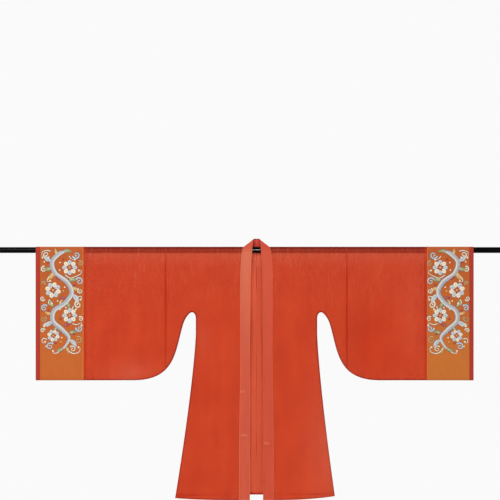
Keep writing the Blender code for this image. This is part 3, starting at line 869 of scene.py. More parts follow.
def neck_edge_out(angle):
    """The neckline over the rod, out from the centre line."""
    level = np.abs(np.cos(angle))
    return mix(COLLAR_FOLD_OUT[0], NECKBAND_TABLE[0, 1], level) + mix(FOLD_FOOT_GAP, SEAM_GAP, level)


def body_over_rod(side, ends):
    """The stretch that lies over the rod."""
    angle = (np.arange(ROD_WRAP_STEPS + 1) * WRAP_STEP)[:, None]
    share = np.linspace(0, 1, BODY_COLUMNS + 1)[None, 1:]
    near = mix(ends[SLOT_TOP, 0], neck_edge_out(angle), share)
    far = np.broadcast_to(ends[: SLOT_TOP + 1, 0], (len(angle), SLOT_TOP + 1))
    out = np.concatenate([far, near], axis=1)
    return placed(side["sign"], out, -WRAP_RADIUS * np.cos(angle), WRAP_RADIUS * np.sin(angle))


def body_turn(side, tips, ends):
    """The half round that joins front and back along the underarm and the side seam."""
    x, z = side["sign"] * ends[:, :1], ends[:, 1:]
    back, front = layer_y("back", x, z), layer_y("front", x, z)
    angle = (np.arange(TURN_STEPS + 1) * math.pi / TURN_STEPS)[None, :]
    reach = np.sin(angle)
    out = mix(ends[:, :1], tips[:, :1], reach)
    y = (back + front) / 2 - (back - front) / 2 * np.cos(angle)
    return placed(side["sign"], out, y, mix(z, tips[:, 1:], reach))


def collar_arch(share):
    """The centre height and radius of the collar's fold, from its foot (0) to its top (1)."""
    return (COLLAR_TOP_Z - COLLAR_FOLD_RADIUS) * share, mix(WRAP_RADIUS, COLLAR_FOLD_RADIUS, share)


def collar_back_y(out, z):
    """How far back the collar lies. It leans from the rod's back to the fold above it."""
    foot, top = COLLAR_FOLD_OUT
    centre, radius = collar_arch(np.clip((foot - out) / (foot - top), 0, 1))
    lean = math.asin((WRAP_RADIUS - COLLAR_FOLD_RADIUS) / (COLLAR_TOP_Z - COLLAR_FOLD_RADIUS))
    low, high = WRAP_RADIUS * math.sin(lean), centre + radius * math.sin(lean)
    over = np.sqrt(np.maximum(radius**2 - (z - centre) ** 2, 0))
    under = np.sqrt(np.maximum(WRAP_RADIUS**2 - z**2, 0))
    between = mix(WRAP_RADIUS, radius, (z - low) / np.maximum(high - low, 1e-9)) * math.cos(lean)
    return np.where(z >= high, over, np.where(z <= low, under, between))


def back_neck_z(share):
    """The back neckline's height, from the centre (0) to the fold's foot (1)."""
    return mix(BACK_NECK_Z, WRAP_RADIUS, share**BACK_NECK_POWER)


def body_back_neck(side):
    """The back between the neckline and the hem, in to the centre back seam."""
    share = BACK_NECK_SHARES[None, :]
    angle = math.pi / 2 + (np.arange(QUARTER + 1) * WRAP_STEP)[:, None]
    out = np.maximum(share * neck_edge_out(angle), CENTRE_GAP)
    drop = mix(2 * SEAM_GAP, FOLD_FOOT_GAP, share)
    z = (back_neck_z(share) - drop) * np.sin(angle)
    y = collar_back_y(out, z) + FOLD_FOOT_LIFT * share**4 * np.sin(angle)
    y[:, 0] = -WRAP_RADIUS * np.cos(angle[:, 0])
    z[:, 0] = WRAP_RADIUS * np.sin(angle[:, 0])
    upper = placed(side["sign"], out, y, z)
    row = np.arange(1, UPPER_ROWS + LOWER_ROWS + 1)[:, None]
    edge = table_value(even_z(side, "back", row, NECKBAND_FOOT_OUT), 1) + SEAM_GAP
    out = np.maximum(share * edge, CENTRE_GAP)
    z = even_z(side, "back", row, out)
    return np.concatenate([upper, on_layer(side, "back", out, z)])


def make_body(word):
    side = SIDES[word]
    tips, ends = outline(side)
    stretches = [
        *[body_sleeve_head(side, layer, ends) for layer in OUTWARD],
        *[body_panel(side, layer, ends) for layer in OUTWARD],
        body_over_rod(side, ends),
        body_turn(side, tips, ends),
        body_back_neck(side),
    ]
    shell = join([lay_grid(points) for points in stretches], f"robe_body_{word}")
    return thicken(shell, GAUZE_WALL, silk_gauze)


robe_body = {word: make_body(word) for word in SIDES}
for word, piece in robe_body.items():
    print(piece.name, "faces:", len(piece.data.polygons))

# %% [markdown]
# ## Sleeves, cuff bands and cuff edges
# All three are tubes with the same section: over the rod, down the back, round the lower
# edge and up the front. One function draws that section at any place along the arm, a
# little larger or smaller when asked, so that linings and bindings lie exactly on the cloth.

# %% Tubes along the arm
BAND_WALL = 0.0009
EDGE_WALL = 0.0011
SLEEVE_STEPS = 44
CUFF_BAND_STEPS = 24
CUFF_EDGE_STEPS = 4


def sleeve_bottom(out):
    """The height of the sleeve's lower edge, and its slope."""
    share = underarm_share(out)
    point, way = bezier(UNDERARM_CURVE, share)
    straight = out >= UNDERARM_CURVE[0][0]
    slope = np.where(straight, 0.0, way[:, 1] / np.minimum(way[:, 0], -1e-9))
    return np.where(straight, -SLEEVE_DEPTH, point[:, 1]), slope


def arm_tube(side, outs, lift=0.0):
    """Sections round the sleeve at several distances out, as rows of points."""
    outs = np.asarray(outs, dtype=float)
    x = side["sign"] * outs[:, None]
    bottom, slope = (values[:, None] for values in sleeve_bottom(outs))
    flat_end = bottom + half_gap(bottom) * np.hypot(1, slope)
    angle = (np.arange(ROD_WRAP_STEPS) * WRAP_STEP)[None, :]
    radius = WRAP_RADIUS + lift
    over = placed(1, x, -radius * np.cos(angle), radius * np.sin(angle))
    z = flat_end * np.linspace(0, 1, UPPER_ROWS + 1)[None, :]
    down = placed(1, x, layer_y("back", x, z, lift), z)
    up = placed(1, x, layer_y("front", x, z[:, ::-1], lift), z[:, ::-1])
    back, front = layer_y("back", x, flat_end, lift), layer_y("front", x, flat_end, lift)
    angle = (np.arange(1, TURN_STEPS) * math.pi / TURN_STEPS)[None, :]
    y = (back + front) / 2 + (back - front) / 2 * np.cos(angle)
    under = placed(1, x, y, mix(flat_end, bottom - lift, np.sin(angle)))
    return np.concatenate([over, down, under, up], axis=1)


def make_tube(name, side, start, end, steps, wall, finish, lift=0.0):
    shell = join([lay_grid(arm_tube(side, np.linspace(start, end, steps + 1), lift))], name)
    return thicken(shell, wall, finish)


sleeve, cuff_band, cuff_edge = {}, {}, {}
for word, side in SIDES.items():
    for made, name, k, steps, wall, finish in (
        (sleeve, f"sleeve_{word}_gauze", 0, SLEEVE_STEPS, GAUZE_WALL, silk_gauze),
        (cuff_band, f"cuff_{word}_satin", 1, CUFF_BAND_STEPS, BAND_WALL, cuff_satin),
        (cuff_edge, f"cuff_{word}_binding", 2, CUFF_EDGE_STEPS, EDGE_WALL, binding_silk[word]),
    ):
        start, end = side[SEAMS[k]] + SEAM_GAP, side[SEAMS[k + 1]]
        made[word] = make_tube(name, side, start, end, steps, wall, finish)
    print(word, "tube faces:", [len(p[word].data.polygons) for p in (sleeve, cuff_band, cuff_edge)])

# %% [markdown]
# ## The neckband
# The neckband is a doubled strip of the same silk, sewn to the front edges. Each half runs
# up the front, leans back over the rod to a sloping fold, and crosses the back of the neck
# to the centre. A doubled strip is thicker at its folded edge and at its seam, so a low
# ridge runs along both. The inner side at the back of the neck is turned towards the
# viewer, and gets its own finish because it has kept a deeper red.

# %% Neckband halves
NECKBAND_WALL = 0.0011
NECKBAND_COLUMNS = 16
SLOPE_ROWS = 8
EDGE_RIDGE = 0.0005
EDGE_RIDGE_SHARE = 0.07
NECK_INSIDE_Z = WRAP_RADIUS + 0.002
NECK_INSIDE_WAY = -0.2


def edge_ridge(share):
    off = np.minimum(share, 1 - share) / EDGE_RIDGE_SHARE
    return EDGE_RIDGE * np.exp(-(off**2))


def make_neckband(word):
    side = SIDES[word]
    share = np.linspace(0, 1, NECKBAND_COLUMNS + 1)[None, :]
    row = np.arange(UPPER_ROWS + LOWER_ROWS, -1, -1)[:, None]
    level = even_z(side, "front", row, NECKBAND_FOOT_OUT)
    out = mix(table_value(level, 1), table_value(level, 2), share)
    z = even_z(side, "front", row, out)
    front = on_layer(side, "front", out, z, edge_ridge(share))
    angle = (np.arange(1, QUARTER + 1) * WRAP_STEP)[:, None]
    centre, radius = collar_arch(share)
    z = centre + radius * np.sin(angle)
    progress = mix(1 - np.cos(angle), z / (centre + radius), share)
    foot = mix(NECKBAND_TABLE[0, 1], NECKBAND_TABLE[0, 2], share)
    out = mix(foot, mix(*COLLAR_FOLD_OUT, share), progress)
    y = -(radius + edge_ridge(share) * np.cos(angle)) * np.cos(angle)
    over = placed(side["sign"], out, y, z)
    steps = np.linspace(0, 1, SLOPE_ROWS + 1)[1:-1, None, None]
    slope = mix(front[-1][None], over[0][None], steps)
    neck = BACK_NECK_SHARES[1:, None]
    out = np.maximum(neck * mix(*COLLAR_FOLD_OUT, share), CENTRE_GAP)
    z = mix(back_neck_z(neck), COLLAR_TOP_Z, share)
    back = placed(side["sign"], out, collar_back_y(out, z), z)
    band = lay_grid(np.concatenate([front, slope, over, back]), uv_width=NECKBAND_WIDTH)
    piece = join([band], f"neckband_{word}_silk")
    thicken(piece, NECKBAND_WALL, neckband_silk[word], neckband_inner)
    for face in piece.data.polygons:
        above = face.center.z > NECK_INSIDE_Z and face.center.y > 0
        if above and face.normal.y < NECK_INSIDE_WAY:
            face.material_index = 1
    return piece


neckband = {word: make_neckband(word) for word in SIDES}
print("neckband faces:", [len(piece.data.polygons) for piece in neckband.values()])

# %% [markdown]
# ## Hems and seams
# Through sheer gauze every doubled layer shows as a deeper red. The front has a hem 26 mm
# deep, turned up inside. All outer edges are rolled and stitched on the outside, which
# packs several layers into a few millimetres, so they show as thin dark lines. The centre
# back seam is pressed open over a facing of gauze, whose paler colour is partly painted
# light where the neckbands shade the back. The seam's strip is darker in three stretches,
# and a darker strip lies beside it on the right. These could be painted as lines, but then
# they would stay put when the light moves. So each is a narrow strip of cloth, laid just
# inside the robe.

# %% Strips inside the cloth
STRIP_WALL = 0.0003
INSIDE = -0.0006
FURTHER_INSIDE = -0.0012
OUTSIDE = 0.0006
HEM_TURN = 0.026
ROLLED_HEM = 0.0060
BACK_FACING = 0.060
BACK_HEM_ROLL = 0.007
BACK_SEAM_ROLL = 0.0013
BACK_SEAM_TOP = -0.010
BACK_DARK_STRIP = (0.0238, 0.0272)
BACK_DARK_STRIP_ENDS = (-0.036, -0.620)
SLEEVE_SEAM_TURN = (-0.0015, 0.0030)
BAND_TURN = 0.011
STRIP_STEPS = 3
MIDDLE_HEM_COLUMNS = 6
BACK_HEM_COLUMNS = 44
BACK_STRIP_COLUMNS = 7
HEM_START = 0.0003
FACING_RISE = 0.001
ROLL = np.linspace(0.03, 0.45, 5)[None, :]  # the shares of the half round, from its tip, in a roll


def strip(points, finish):
    return thicken(join([lay_grid(points)], "strip"), STRIP_WALL, finish)


def hem_strip(side, layer, outs, depth, inside, finish):
    """A strip that stands on the hem's edge, inside one layer."""
    out = np.asarray(outs)[None, :]
    z = hem_z(side, layer, out) + np.linspace(HEM_START, depth, STRIP_STEPS)[:, None]
    return strip(on_layer(side, layer, out, z, inside), finish)


def back_strip(side, outs, ends, inside, finish):
    """An upright strip inside the back."""
    z = np.linspace(*ends, UPPER_ROWS + LOWER_ROWS)[:, None]
    out = np.linspace(*outs, BACK_STRIP_COLUMNS)[None, :]
    return strip(on_layer(side, "back", out, z, inside), finish)


def rolled(side, layer, out, z):
    """A rolled seam on the half round of one layer, where the front turns into the back."""
    x = side["sign"] * out
    front, back = layer_y("front", x, z, OUTSIDE), layer_y("back", x, z, OUTSIDE)
    reach = OUTWARD[layer] * (back - front) / 2 * np.sqrt(1 - (1 - ROLL) ** 2)
    return strip(placed(1, x, (front + back) / 2 + reach, z), rolled_gauze)


def rolled_sleeve(side, layer):
    """The rolled seam along the sleeve's lower edge."""
    outs = np.linspace(side["sleeve_seam"] + SEAM_GAP, side["band_seam"], SLEEVE_STEPS + 1)
    bottom, slope = (values[:, None] for values in sleeve_bottom(outs))
    return rolled(side, layer, outs[:, None], bottom + half_gap(bottom) * np.hypot(1, slope) * ROLL)


for word, side in SIDES.items():
    tips, ends = outline(side)
    edge = table_value(np.array(FRONT_HEM_Z), 1)
    front_outs = np.linspace(edge + SEAM_GAP, ends[-1, 0], BODY_COLUMNS + 1)
    middle_outs = np.linspace(CENTRE_GAP, edge, MIDDLE_HEM_COLUMNS)
    back_outs = np.linspace(CENTRE_GAP, ends[-1, 0], BACK_HEM_COLUMNS)
    side_roll = mix(tips[:, :1], ends[:, :1], ROLL), mix(tips[:, 1:], ends[:, 1:], ROLL)
    back_ends = (BACK_SEAM_TOP, BACK_HEM_Z + FACING_RISE)
    strips = [
        hem_strip(side, "front", front_outs, HEM_TURN, INSIDE, silk_gauze),
        hem_strip(side, "front", front_outs, ROLLED_HEM, OUTSIDE, rolled_gauze),
        hem_strip(side, "back", middle_outs, BACK_HEM_ROLL, FURTHER_INSIDE, rolled_gauze),
        hem_strip(side, "back", back_outs, ROLLED_HEM, OUTSIDE, silk_gauze),
        *[rolled(side, layer, *side_roll) for layer in OUTWARD],
        back_strip(side, (CENTRE_GAP, BACK_FACING), back_ends, INSIDE, facing_gauze),
        back_strip(side, (0, BACK_SEAM_ROLL), back_ends, FURTHER_INSIDE, seam_gauze),
    ]
    if word == "right":
        strips.append(back_strip(side, BACK_DARK_STRIP, BACK_DARK_STRIP_ENDS, FURTHER_INSIDE, seam_gauze))
    robe_body[word] = gather([robe_body[word], *strips], f"robe_body_{word}")
    turn = [side["sleeve_seam"] + reach for reach in SLEEVE_SEAM_TURN]
    seam = strip(arm_tube(side, np.linspace(*turn, STRIP_STEPS), INSIDE), silk_gauze)
    rolls = [rolled_sleeve(side, layer) for layer in OUTWARD]
    sleeve[word] = gather([sleeve[word], seam, *rolls], f"sleeve_{word}_gauze")

band_allowance = {}
for word, side in SIDES.items():
    outs = np.linspace(side["band_seam"] - BAND_TURN, side["band_seam"] - SEAM_GAP, STRIP_STEPS)
    band_allowance[word] = strip(arm_tube(side, outs, INSIDE), allowance_satin)
    band_allowance[word].name = band_allowance[word].data.name = f"cuff_{word}_allowance"
print("body faces with strips:", [len(piece.data.polygons) for piece in robe_body.values()])

# %% [markdown]
# ## Piping along the cuff band
# Where the orange satin meets the gauze, a narrow folded strip of paler satin lies on the
# seam. It is the same tube section, grown outwards by a fraction of a millimetre.

# %% Piping
PIPING_WIDTH = 0.0055
PIPING_LIFT = 0.0007
PIPING_WALL = 0.0008
PIPING_STEPS = 6

piping = {}
for word, side in SIDES.items():
    start = side["band_seam"] + SEAM_GAP
    piping[word] = make_tube(
        f"cuff_{word}_piping", side, start, start + PIPING_WIDTH, PIPING_STEPS, PIPING_WALL,
        piping_satin, PIPING_LIFT,
    )  # fmt: skip
print("piping faces:", [len(piece.data.polygons) for piece in piping.values()])

# %% [markdown]
# ## The display rod
# The robe hangs from a straight steel tube, blackened and closed at its ends. A cylinder is
# turned to lie along X, and its two rims are bevelled as a lathe would break them.

# %% Display rod
ROD_SIDES = 96
ROD_CHAMFER = 0.001
ROD_SHARP_ANGLE = math.radians(35)
END_TOLERANCE = 0.0001

select()
bpy.ops.mesh.primitive_cylinder_add(
    vertices=ROD_SIDES, radius=ROD_RADIUS, depth=ROD_LENGTH, rotation=(0, math.radians(90), 0)
)
rod = bpy.context.object
rod.name = rod.data.name = "display_rod"
bpy.ops.object.transform_apply(location=True, rotation=True, scale=True)
bpy.ops.object.mode_set(mode="EDIT")
bpy.ops.mesh.select_all(action="DESELECT")
bpy.ops.object.mode_set(mode="OBJECT")
for edge in rod.data.edges:
    ends_x = [rod.data.vertices[k].co.x for k in edge.vertices]
    edge.select = abs(ends_x[0] - ends_x[1]) < END_TOLERANCE
bpy.ops.object.mode_set(mode="EDIT")
bpy.ops.mesh.select_mode(type="EDGE")
bpy.ops.mesh.bevel(offset=ROD_CHAMFER, segments=3, affect="EDGES")
bpy.ops.object.mode_set(mode="OBJECT")
bpy.ops.object.shade_smooth_by_angle(angle=ROD_SHARP_ANGLE)
rod.data.materials.append(steel_black)
print("rod faces:", len(rod.data.polygons))

# %% [markdown]
# ## The embroidery's design
# Each cuff band carries a scrolling vine, a traditional border: a broad stem winds down the
# band, a blossom fills each bend, and curls, leaves and beaded tendrils fill the sides.
# It is worked in satin stitch, thick padded stitches in floss silk, so each stroke is a low
# dome with a darker line of stitches round it. The design is listed in millimetres, across
# from the band's middle and down from the rod.

# %% The embroidery's design
STEM = (
    (-24, -4), (12, -18), (46, -58), (30, -112), (-24, -152), (-48, -204), (-14, -256),
    (36, -290), (42, -340), (-2, -382), (-34, -420), (-16, -462), (10, -480),
)  # fmt: skip
CURLS = (  # middle across, down, radius, start angle, turn, width, thread
    (74, -22, 17, 210, 430, 8, "cream"),
    (86, -92, 15, 110, -430, 8, "cream"),
    (-70, -24, 19, -10, -430, 9, "silver"),
    (-88, -64, 13, 60, 430, 7, "gold"),
    (-84, -150, 18, 20, 430, 9, "silver"),
    (-88, -196, 14, 70, -430, 7, "cream"),
    (-78, -262, 18, 80, -430, 9, "cream"),
    (90, -158, 12, 230, -430, 7, "gold"),
    (92, -232, 12, 200, 430, 7, "cream"),
    (84, -278, 17, 150, -430, 9, "silver"),
    (88, -330, 14, 130, 430, 7, "gold"),
    (-90, -330, 12, 40, 430, 7, "cream"),
    (-84, -376, 17, 20, -430, 9, "silver"),
    (92, -386, 12, 180, -430, 7, "cream"),
    (-78, -432, 18, 60, 430, 8, "gold"),
    (56, -462, 19, 150, -430, 9, "silver"),
    (-52, -474, 15, 30, 430, 7, "cream"),
)
BLOSSOMS = (  # across, down, radius, first petal's angle
    (-38, -84, 37, 90),
    (42, -192, 39, 60),
    (-38, -314, 37, 90),
    (40, -410, 31, 60),
)
LEAVES = (  # root across, root down, angle, length, width, thread
    (52, -52, 28, 44, 22, "silver"),
    (46, -84, -20, 46, 20, "olive"),
    (40, -106, -62, 48, 22, "gold"),
    (-6, -8, 170, 44, 18, "olive"),
    (20, -24, 62, 34, 15, "gold"),
    (-34, -146, 168, 40, 20, "olive"),
    (-50, -182, 196, 34, 18, "gold"),
    (-52, -214, 226, 52, 23, "silver"),
    (-22, -248, 238, 40, 18, "olive"),
    (4, -140, 24, 34, 14, "crimson"),
    (-18, -226, -14, 30, 13, "crimson"),
    (40, -272, 54, 42, 19, "olive"),
    (50, -306, 8, 34, 17, "gold"),
    (48, -342, -34, 48, 22, "silver"),
    (24, -368, -58, 30, 13, "olive"),
    (10, -262, 110, 30, 13, "gold"),
    (-10, -366, 150, 32, 14, "crimson"),
    (-36, -398, 166, 36, 19, "olive"),
    (-38, -432, 214, 46, 20, "silver"),
    (-8, -470, -30, 40, 17, "olive"),
    (-20, -466, 236, 34, 15, "gold"),
    (0, -388, -32, 24, 11, "crimson"),
)
TENDRILS = (  # points, width
    (((-14, -118), (-40, -134), (-68, -126), (-92, -112), (-92, -98), (-82, -98)), 5.0),
    (((58, -124), (70, -142), (66, -152), (56, -148)), 5.0),
    (((58, -236), (64, -250), (58, -262), (48, -256)), 5.0),
    (((-60, -236), (-86, -222), (-95, -228), (-90, -238)), 5.0),
    (((-50, -352), (-70, -358), (-92, -350), (-95, -362)), 5.0),
    (((-56, -268), (-50, -286), (-62, -292), (-68, -284)), 5.0),
    (((66, -368), (74, -352), (86, -356), (84, -366)), 5.0),
    (((70, -428), (88, -424), (95, -436), (88, -446), (80, -440)), 5.0),
    (((8, -478), (20, -492), (40, -494), (42, -484)), 5.5),
    (((-30, -482), (-54, -496), (-80, -490), (-88, -474), (-80, -466)), 5.5),
    (((52, -6), (70, -2), (92, -8), (95, -22), (92, -36)), 5.0),
    (((-34, -28), (-46, -42), (-62, -46)), 5.0),
)
BEADS = (  # across, down, radius, thread
    (66, -58, 5, "crimson"), (84, -56, 4, "cream"), (-6, -44, 5, "crimson"), (8, -60, 4, "cream"),
    (10, -96, 4, "cream"), (-62, -168, 5, "crimson"), (-14, -178, 4, "cream"), (-8, -196, 5, "gold"),
    (20, -244, 4, "cream"), (8, -284, 4, "cream"), (6, -330, 5, "crimson"), (64, -290, 5, "crimson"),
    (-20, -276, 4, "cream"), (-58, -402, 5, "crimson"), (0, -420, 4, "cream"), (4, -440, 5, "gold"),
    (76, -462, 4, "cream"), (30, -446, 5, "crimson"),
)  # fmt: skip
MILLIMETRE = 0.001
TENDRIL_BEAD = 5
OUTLINE_MARGIN = 1.3
STROKE_BASE = 0.00025
print("strokes listed:", sum(len(rows) for rows in (CURLS, BLOSSOMS, LEAVES, TENDRILS, BEADS)))

# %% [markdown]
# ## Satin stitch
# A stroke follows a path in the band's own plane and is laid on the cloth, so it follows
# every fold. Its section is a closed loop: a dome of stitches on top and a flat back. Its
# width runs out to nothing at both ends, where merging the doubles closes it to a point.

# %% Tools for satin stitch
DOME = np.array((-1, -0.75, -0.4, 0, 0.4, 0.75, 1, 0.5, -0.5, -1))
DOME_TOP = 7
DOME_HEIGHT = np.where(np.arange(len(DOME)) < DOME_TOP, (1 - DOME**2) ** 0.7, 0)
DOME_EDGE_SHARE = 0.5
BEAD_SINKS = 0.15
BEAD_FLATTENED = 0.45
CURL_CLOSES = 0.78
LAST_STEP = 1.0001  # a path ends just short of its last point
TAPERS = {  # share of the full width, from the start (0) to the end (1)
    "stem": lambda t: np.minimum(1, t / 0.08) ** 0.5 * np.minimum(1, (1 - t) / 0.25) ** 0.7,
    "curl": lambda t: (
        np.minimum(1, t / 0.05) ** 0.5 * (1.05 - 0.7 * t) * np.minimum(1, (1 - t) / 0.04) ** 0.5
    ),
    "leaf": lambda t: np.sin(math.pi * t**0.8) ** 0.85,
    "petal": lambda t: np.sin(math.pi * t**1.35) ** 0.6,
    "vein": lambda t: np.sin(math.pi * t**0.5) ** 0.6,
}


def flowing(points, count):
    """A smooth path through a few points, as count points."""
    points = np.array(points, dtype=float)
    padded = np.vstack([2 * points[0] - points[1], points, 2 * points[-1] - points[-2]])
    where = np.linspace(0, len(points) - LAST_STEP, count)
    k = where.astype(int)
    t = (where - k)[:, None]
    a, b, c, d = (padded[k + i] for i in range(4))
    bend = (2 * a - 5 * b + 4 * c - d) * t**2
    return 0.5 * (2 * b + (c - a) * t + bend + (3 * b - a - 3 * c + d) * t**3)


def curled(across, down, radius, start, turn, count):
    """A spiral that starts on its rim and winds in towards its middle."""
    t = np.linspace(0, 1, count)
    angle = np.radians(start + turn * t)
    reach = radius * (1 - CURL_CLOSES * t)
    return np.stack([across + reach * np.cos(angle), down + reach * np.sin(angle)], axis=1)


def lay_stroke(face, path, width, taper, rise, thread):
    """One stroke of satin stitch on a face of a cuff band. Sizes are in millimetres."""
    side, layer, middle = face
    way = np.gradient(path, axis=0)
    way /= np.linalg.norm(way, axis=1)[:, None] + 1e-9
    across = np.stack([-way[:, 1], way[:, 0]], axis=1)[:, None, :]
    half = width / 2 * TAPERS[taper](np.linspace(0, 1, len(path)))
    half[[0, -1]] = 0
    points = path[:, None, :] + across * (half[:, None] * DOME[None, :])[:, :, None]
    height = STROKE_BASE + rise * MILLIMETRE * DOME_HEIGHT[None, :]
    height = height * (half / half.max())[:, None] ** 0.5
    height[:, DOME_TOP:-1] = 0
    height[:, (0, DOME_TOP - 1, -1)] *= DOME_EDGE_SHARE
    out, z = middle + points[:, :, 0] * MILLIMETRE, points[:, :, 1] * MILLIMETRE
    piece = lay_grid(on_layer(side, layer, out, z, BAND_WALL / 2 + height))
    piece.data.materials.append(thread_materials[thread])
    return piece


def lay_bead(face, across, down, radius, thread):
    """A knot of stitches: a small ball pressed flat on the cloth."""
    side, layer, middle = face
    x, z = side["sign"] * (middle + across * MILLIMETRE), down * MILLIMETRE
    size = radius * MILLIMETRE
    y = float(layer_y(layer, np.array(x), np.array(z), BAND_WALL / 2 + size * BEAD_SINKS))
    select()
    bpy.ops.mesh.primitive_uv_sphere_add(
        segments=12, ring_count=8, radius=1, location=(x, y, z), rotation=(math.radians(90), 0, 0),
        scale=(size, size, size * BEAD_FLATTENED),
    )  # fmt: skip
    bead = bpy.context.object
    bpy.ops.object.transform_apply(location=True, rotation=True, scale=True)
    bead.data.materials.append(thread_materials[thread])
    return bead


# %% [markdown]
# ## Embroidering the bands
# Each stroke gets a wider, flatter stroke of navy thread beneath it, which shows as the
# outline round it. Curls in silver, cream and gold carry a strand of a second thread along
# one side, and the stem carries three strands. Petals start near the blossom's middle, and
# a knot covers where they meet. Each leaf has a vein of another thread on its crest, and
# each curl and tendril ends in a knot. All strokes of one face are joined into one piece.
# The same design is laid on the front and the back of both bands, mirrored from left to
# right.

# %% Embroider the bands
PETALS = 8
STEM_WIDTH = 21
VEIN_WIDTH = 4.0
VEIN_SPAN = (0.08, 0.8)
CURL_KNOT = 0.40
FLOWER_KNOT = 0.17
PETAL_PARTS = {  # shares of the blossom's radius: start, end, width
    "petal": (0.25, 1.00, 0.56),
    "streak": (0.45, 0.85, 0.13),
    "inner": (0.08, 0.48, 0.30),
}
LEAF_BEND = 24
OUTLINE_RISE = 0.2
RISES = {"stem": 1.1, "curl": 1.0, "petal": 1.2, "leaf": 1.2, "vein": 1.6, "strand": 1.35}
PATH_POINTS = {"stem": 110, "curl": 40, "petal": 10, "leaf": 14, "vein": 9}
VEIN_THREAD = {"silver": "mist", "olive": "cream", "gold": "cream", "crimson": "gold"}
STRANDS = {  # laid on the stem or on a curl of one thread: thread, share of width, place across
    "stem": (("mist", 0.30, 0.24), ("cream", 0.16, -0.20), ("crimson", 0.10, -0.02)),
    "silver": (("mist", 0.34, 0.20),),
    "cream": (("gold", 0.30, 0.20),),
    "gold": (("crimson", 0.26, 0.20),),
}


def beside(path, offset):
    """A path a little to the left of another."""
    way = np.gradient(path, axis=0)
    way /= np.linalg.norm(way, axis=1)[:, None]
    return path + np.stack([-way[:, 1], way[:, 0]], axis=1) * offset


def outlined(face, path, width, taper, thread):
    """A stroke with its navy outline beneath it, a little longer and wider."""
    rise = RISES[taper]
    around = np.array(path)
    for end, inner in ((0, 1), (-1, -2)):
        way = around[end] - around[inner]
        around[end] = around[end] + way / np.linalg.norm(way) * OUTLINE_MARGIN
    return [
        lay_stroke(face, around, width + 2 * OUTLINE_MARGIN, taper, rise * OUTLINE_RISE, "navy"),
        lay_stroke(face, path, width, taper, rise, thread),
    ]


def with_strands(face, path, width, taper, thread, strands):
    """An outlined stroke that carries strands of other threads along it."""
    strokes = outlined(face, path, width, taper, thread)
    for other, share, place in strands:
        inner = beside(path, width * place)[2:-3]
        strokes.append(lay_stroke(face, inner, width * share, taper, RISES["strand"], other))
    return strokes


def leaf_path(across, down, angle, length, count, start=0.0, end=1.0):
    """A leaf's middle line, which bends a little on its way out."""
    t = np.linspace(start, end, count)
    turn = np.radians(angle + LEAF_BEND * (t - 0.5))
    return np.stack([across + length * t * np.cos(turn), down + length * t * np.sin(turn)], axis=1)


def petal_line(across, down, radius, angle, part):
    """A straight line out from a blossom's middle, and its width."""
    start, end, width = (radius * share for share in PETAL_PARTS[part])
    reach = np.linspace(start, end, PATH_POINTS["petal"])[:, None]
    return np.array((across, down)) + reach * np.array((math.cos(angle), math.sin(angle))), width


def blossom(face, across, down, radius, first):
    """Eight outer petals with a deeper streak each, four short ones on top, and a knot."""
    strokes = []
    for k in range(PETALS):
        thread, deeper = ("cream", "gold") if k % 2 else ("silver", "mist")
        place = (across, down, radius, math.radians(first + 360 / PETALS * k))
        strokes += outlined(face, *petal_line(*place, "petal"), "petal", thread)
        strokes.append(lay_stroke(face, *petal_line(*place, "streak"), "petal", RISES["vein"], deeper))
    for k in range(PETALS // 2):
        place = (across, down, radius, math.radians(first + 360 / PETALS * (2 * k + 0.5)))
        strokes.append(lay_stroke(face, *petal_line(*place, "inner"), "petal", RISES["vein"], "crimson"))
    strokes.append(lay_bead(face, across, down, radius * FLOWER_KNOT, "gold"))
    return strokes


def embroider(word, layer):
    side = SIDES[word]
    face = (side, layer, (side["band_seam"] + side["edge_seam"]) / 2)
    path = flowing(STEM, PATH_POINTS["stem"])
    strokes = with_strands(face, path, STEM_WIDTH, "stem", "silver", STRANDS["stem"])
    for across, down, radius, start, turn, width, thread in CURLS:
        path = curled(across, down, radius, start, turn, PATH_POINTS["curl"])
        strokes += with_strands(face, path, width, "curl", thread, STRANDS[thread])
        strokes.append(lay_bead(face, *path[-1], width * CURL_KNOT, thread))
    for across, down, angle, length, width, thread in LEAVES:
        path = leaf_path(across, down, angle, length, PATH_POINTS["leaf"])
        strokes += outlined(face, path, width, "leaf", thread)
        path = leaf_path(across, down, angle, length, PATH_POINTS["vein"], *VEIN_SPAN)
        strokes.append(lay_stroke(face, path, VEIN_WIDTH, "vein", RISES["vein"], VEIN_THREAD[thread]))
    for points, width in TENDRILS:
        path = flowing(points, PATH_POINTS["curl"])
        strokes += outlined(face, path, width, "curl", "cream")
        strokes.append(lay_bead(face, *points[-1], TENDRIL_BEAD, "cream"))
    for across, down, radius, first in BLOSSOMS:
        strokes += blossom(face, across, down, radius, first)
    for across, down, radius, thread in BEADS:
        strokes.append(lay_bead(face, across, down, radius, thread))
    piece = join(strokes, f"embroidery_{word}_{layer}")
    select(piece)
    bpy.ops.object.shade_smooth_by_angle(angle=SHARP_ANGLE)
    return piece


embroidery = {(word, layer): embroider(word, layer) for word in SIDES for layer in OUTWARD}
print("embroidery faces:", {f"{w} {l}": len(p.data.polygons) for (w, l), p in embroidery.items()})

# %% [markdown]
# ## Joining the pieces to the frame
# Every piece rides on the one body and stands for its solid. The body halves and the tubes
# are cut as plain lengths folded over the shoulder, so a width is the way along the arm from
# seam to seam, and a tube's length is the way round. The widths are worked out below but
# not used.


def hang_sheet(piece, node_name, pieces=()):
    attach(piece, "root")
    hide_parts(node_name)
    for other in pieces:
        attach(other, "root")


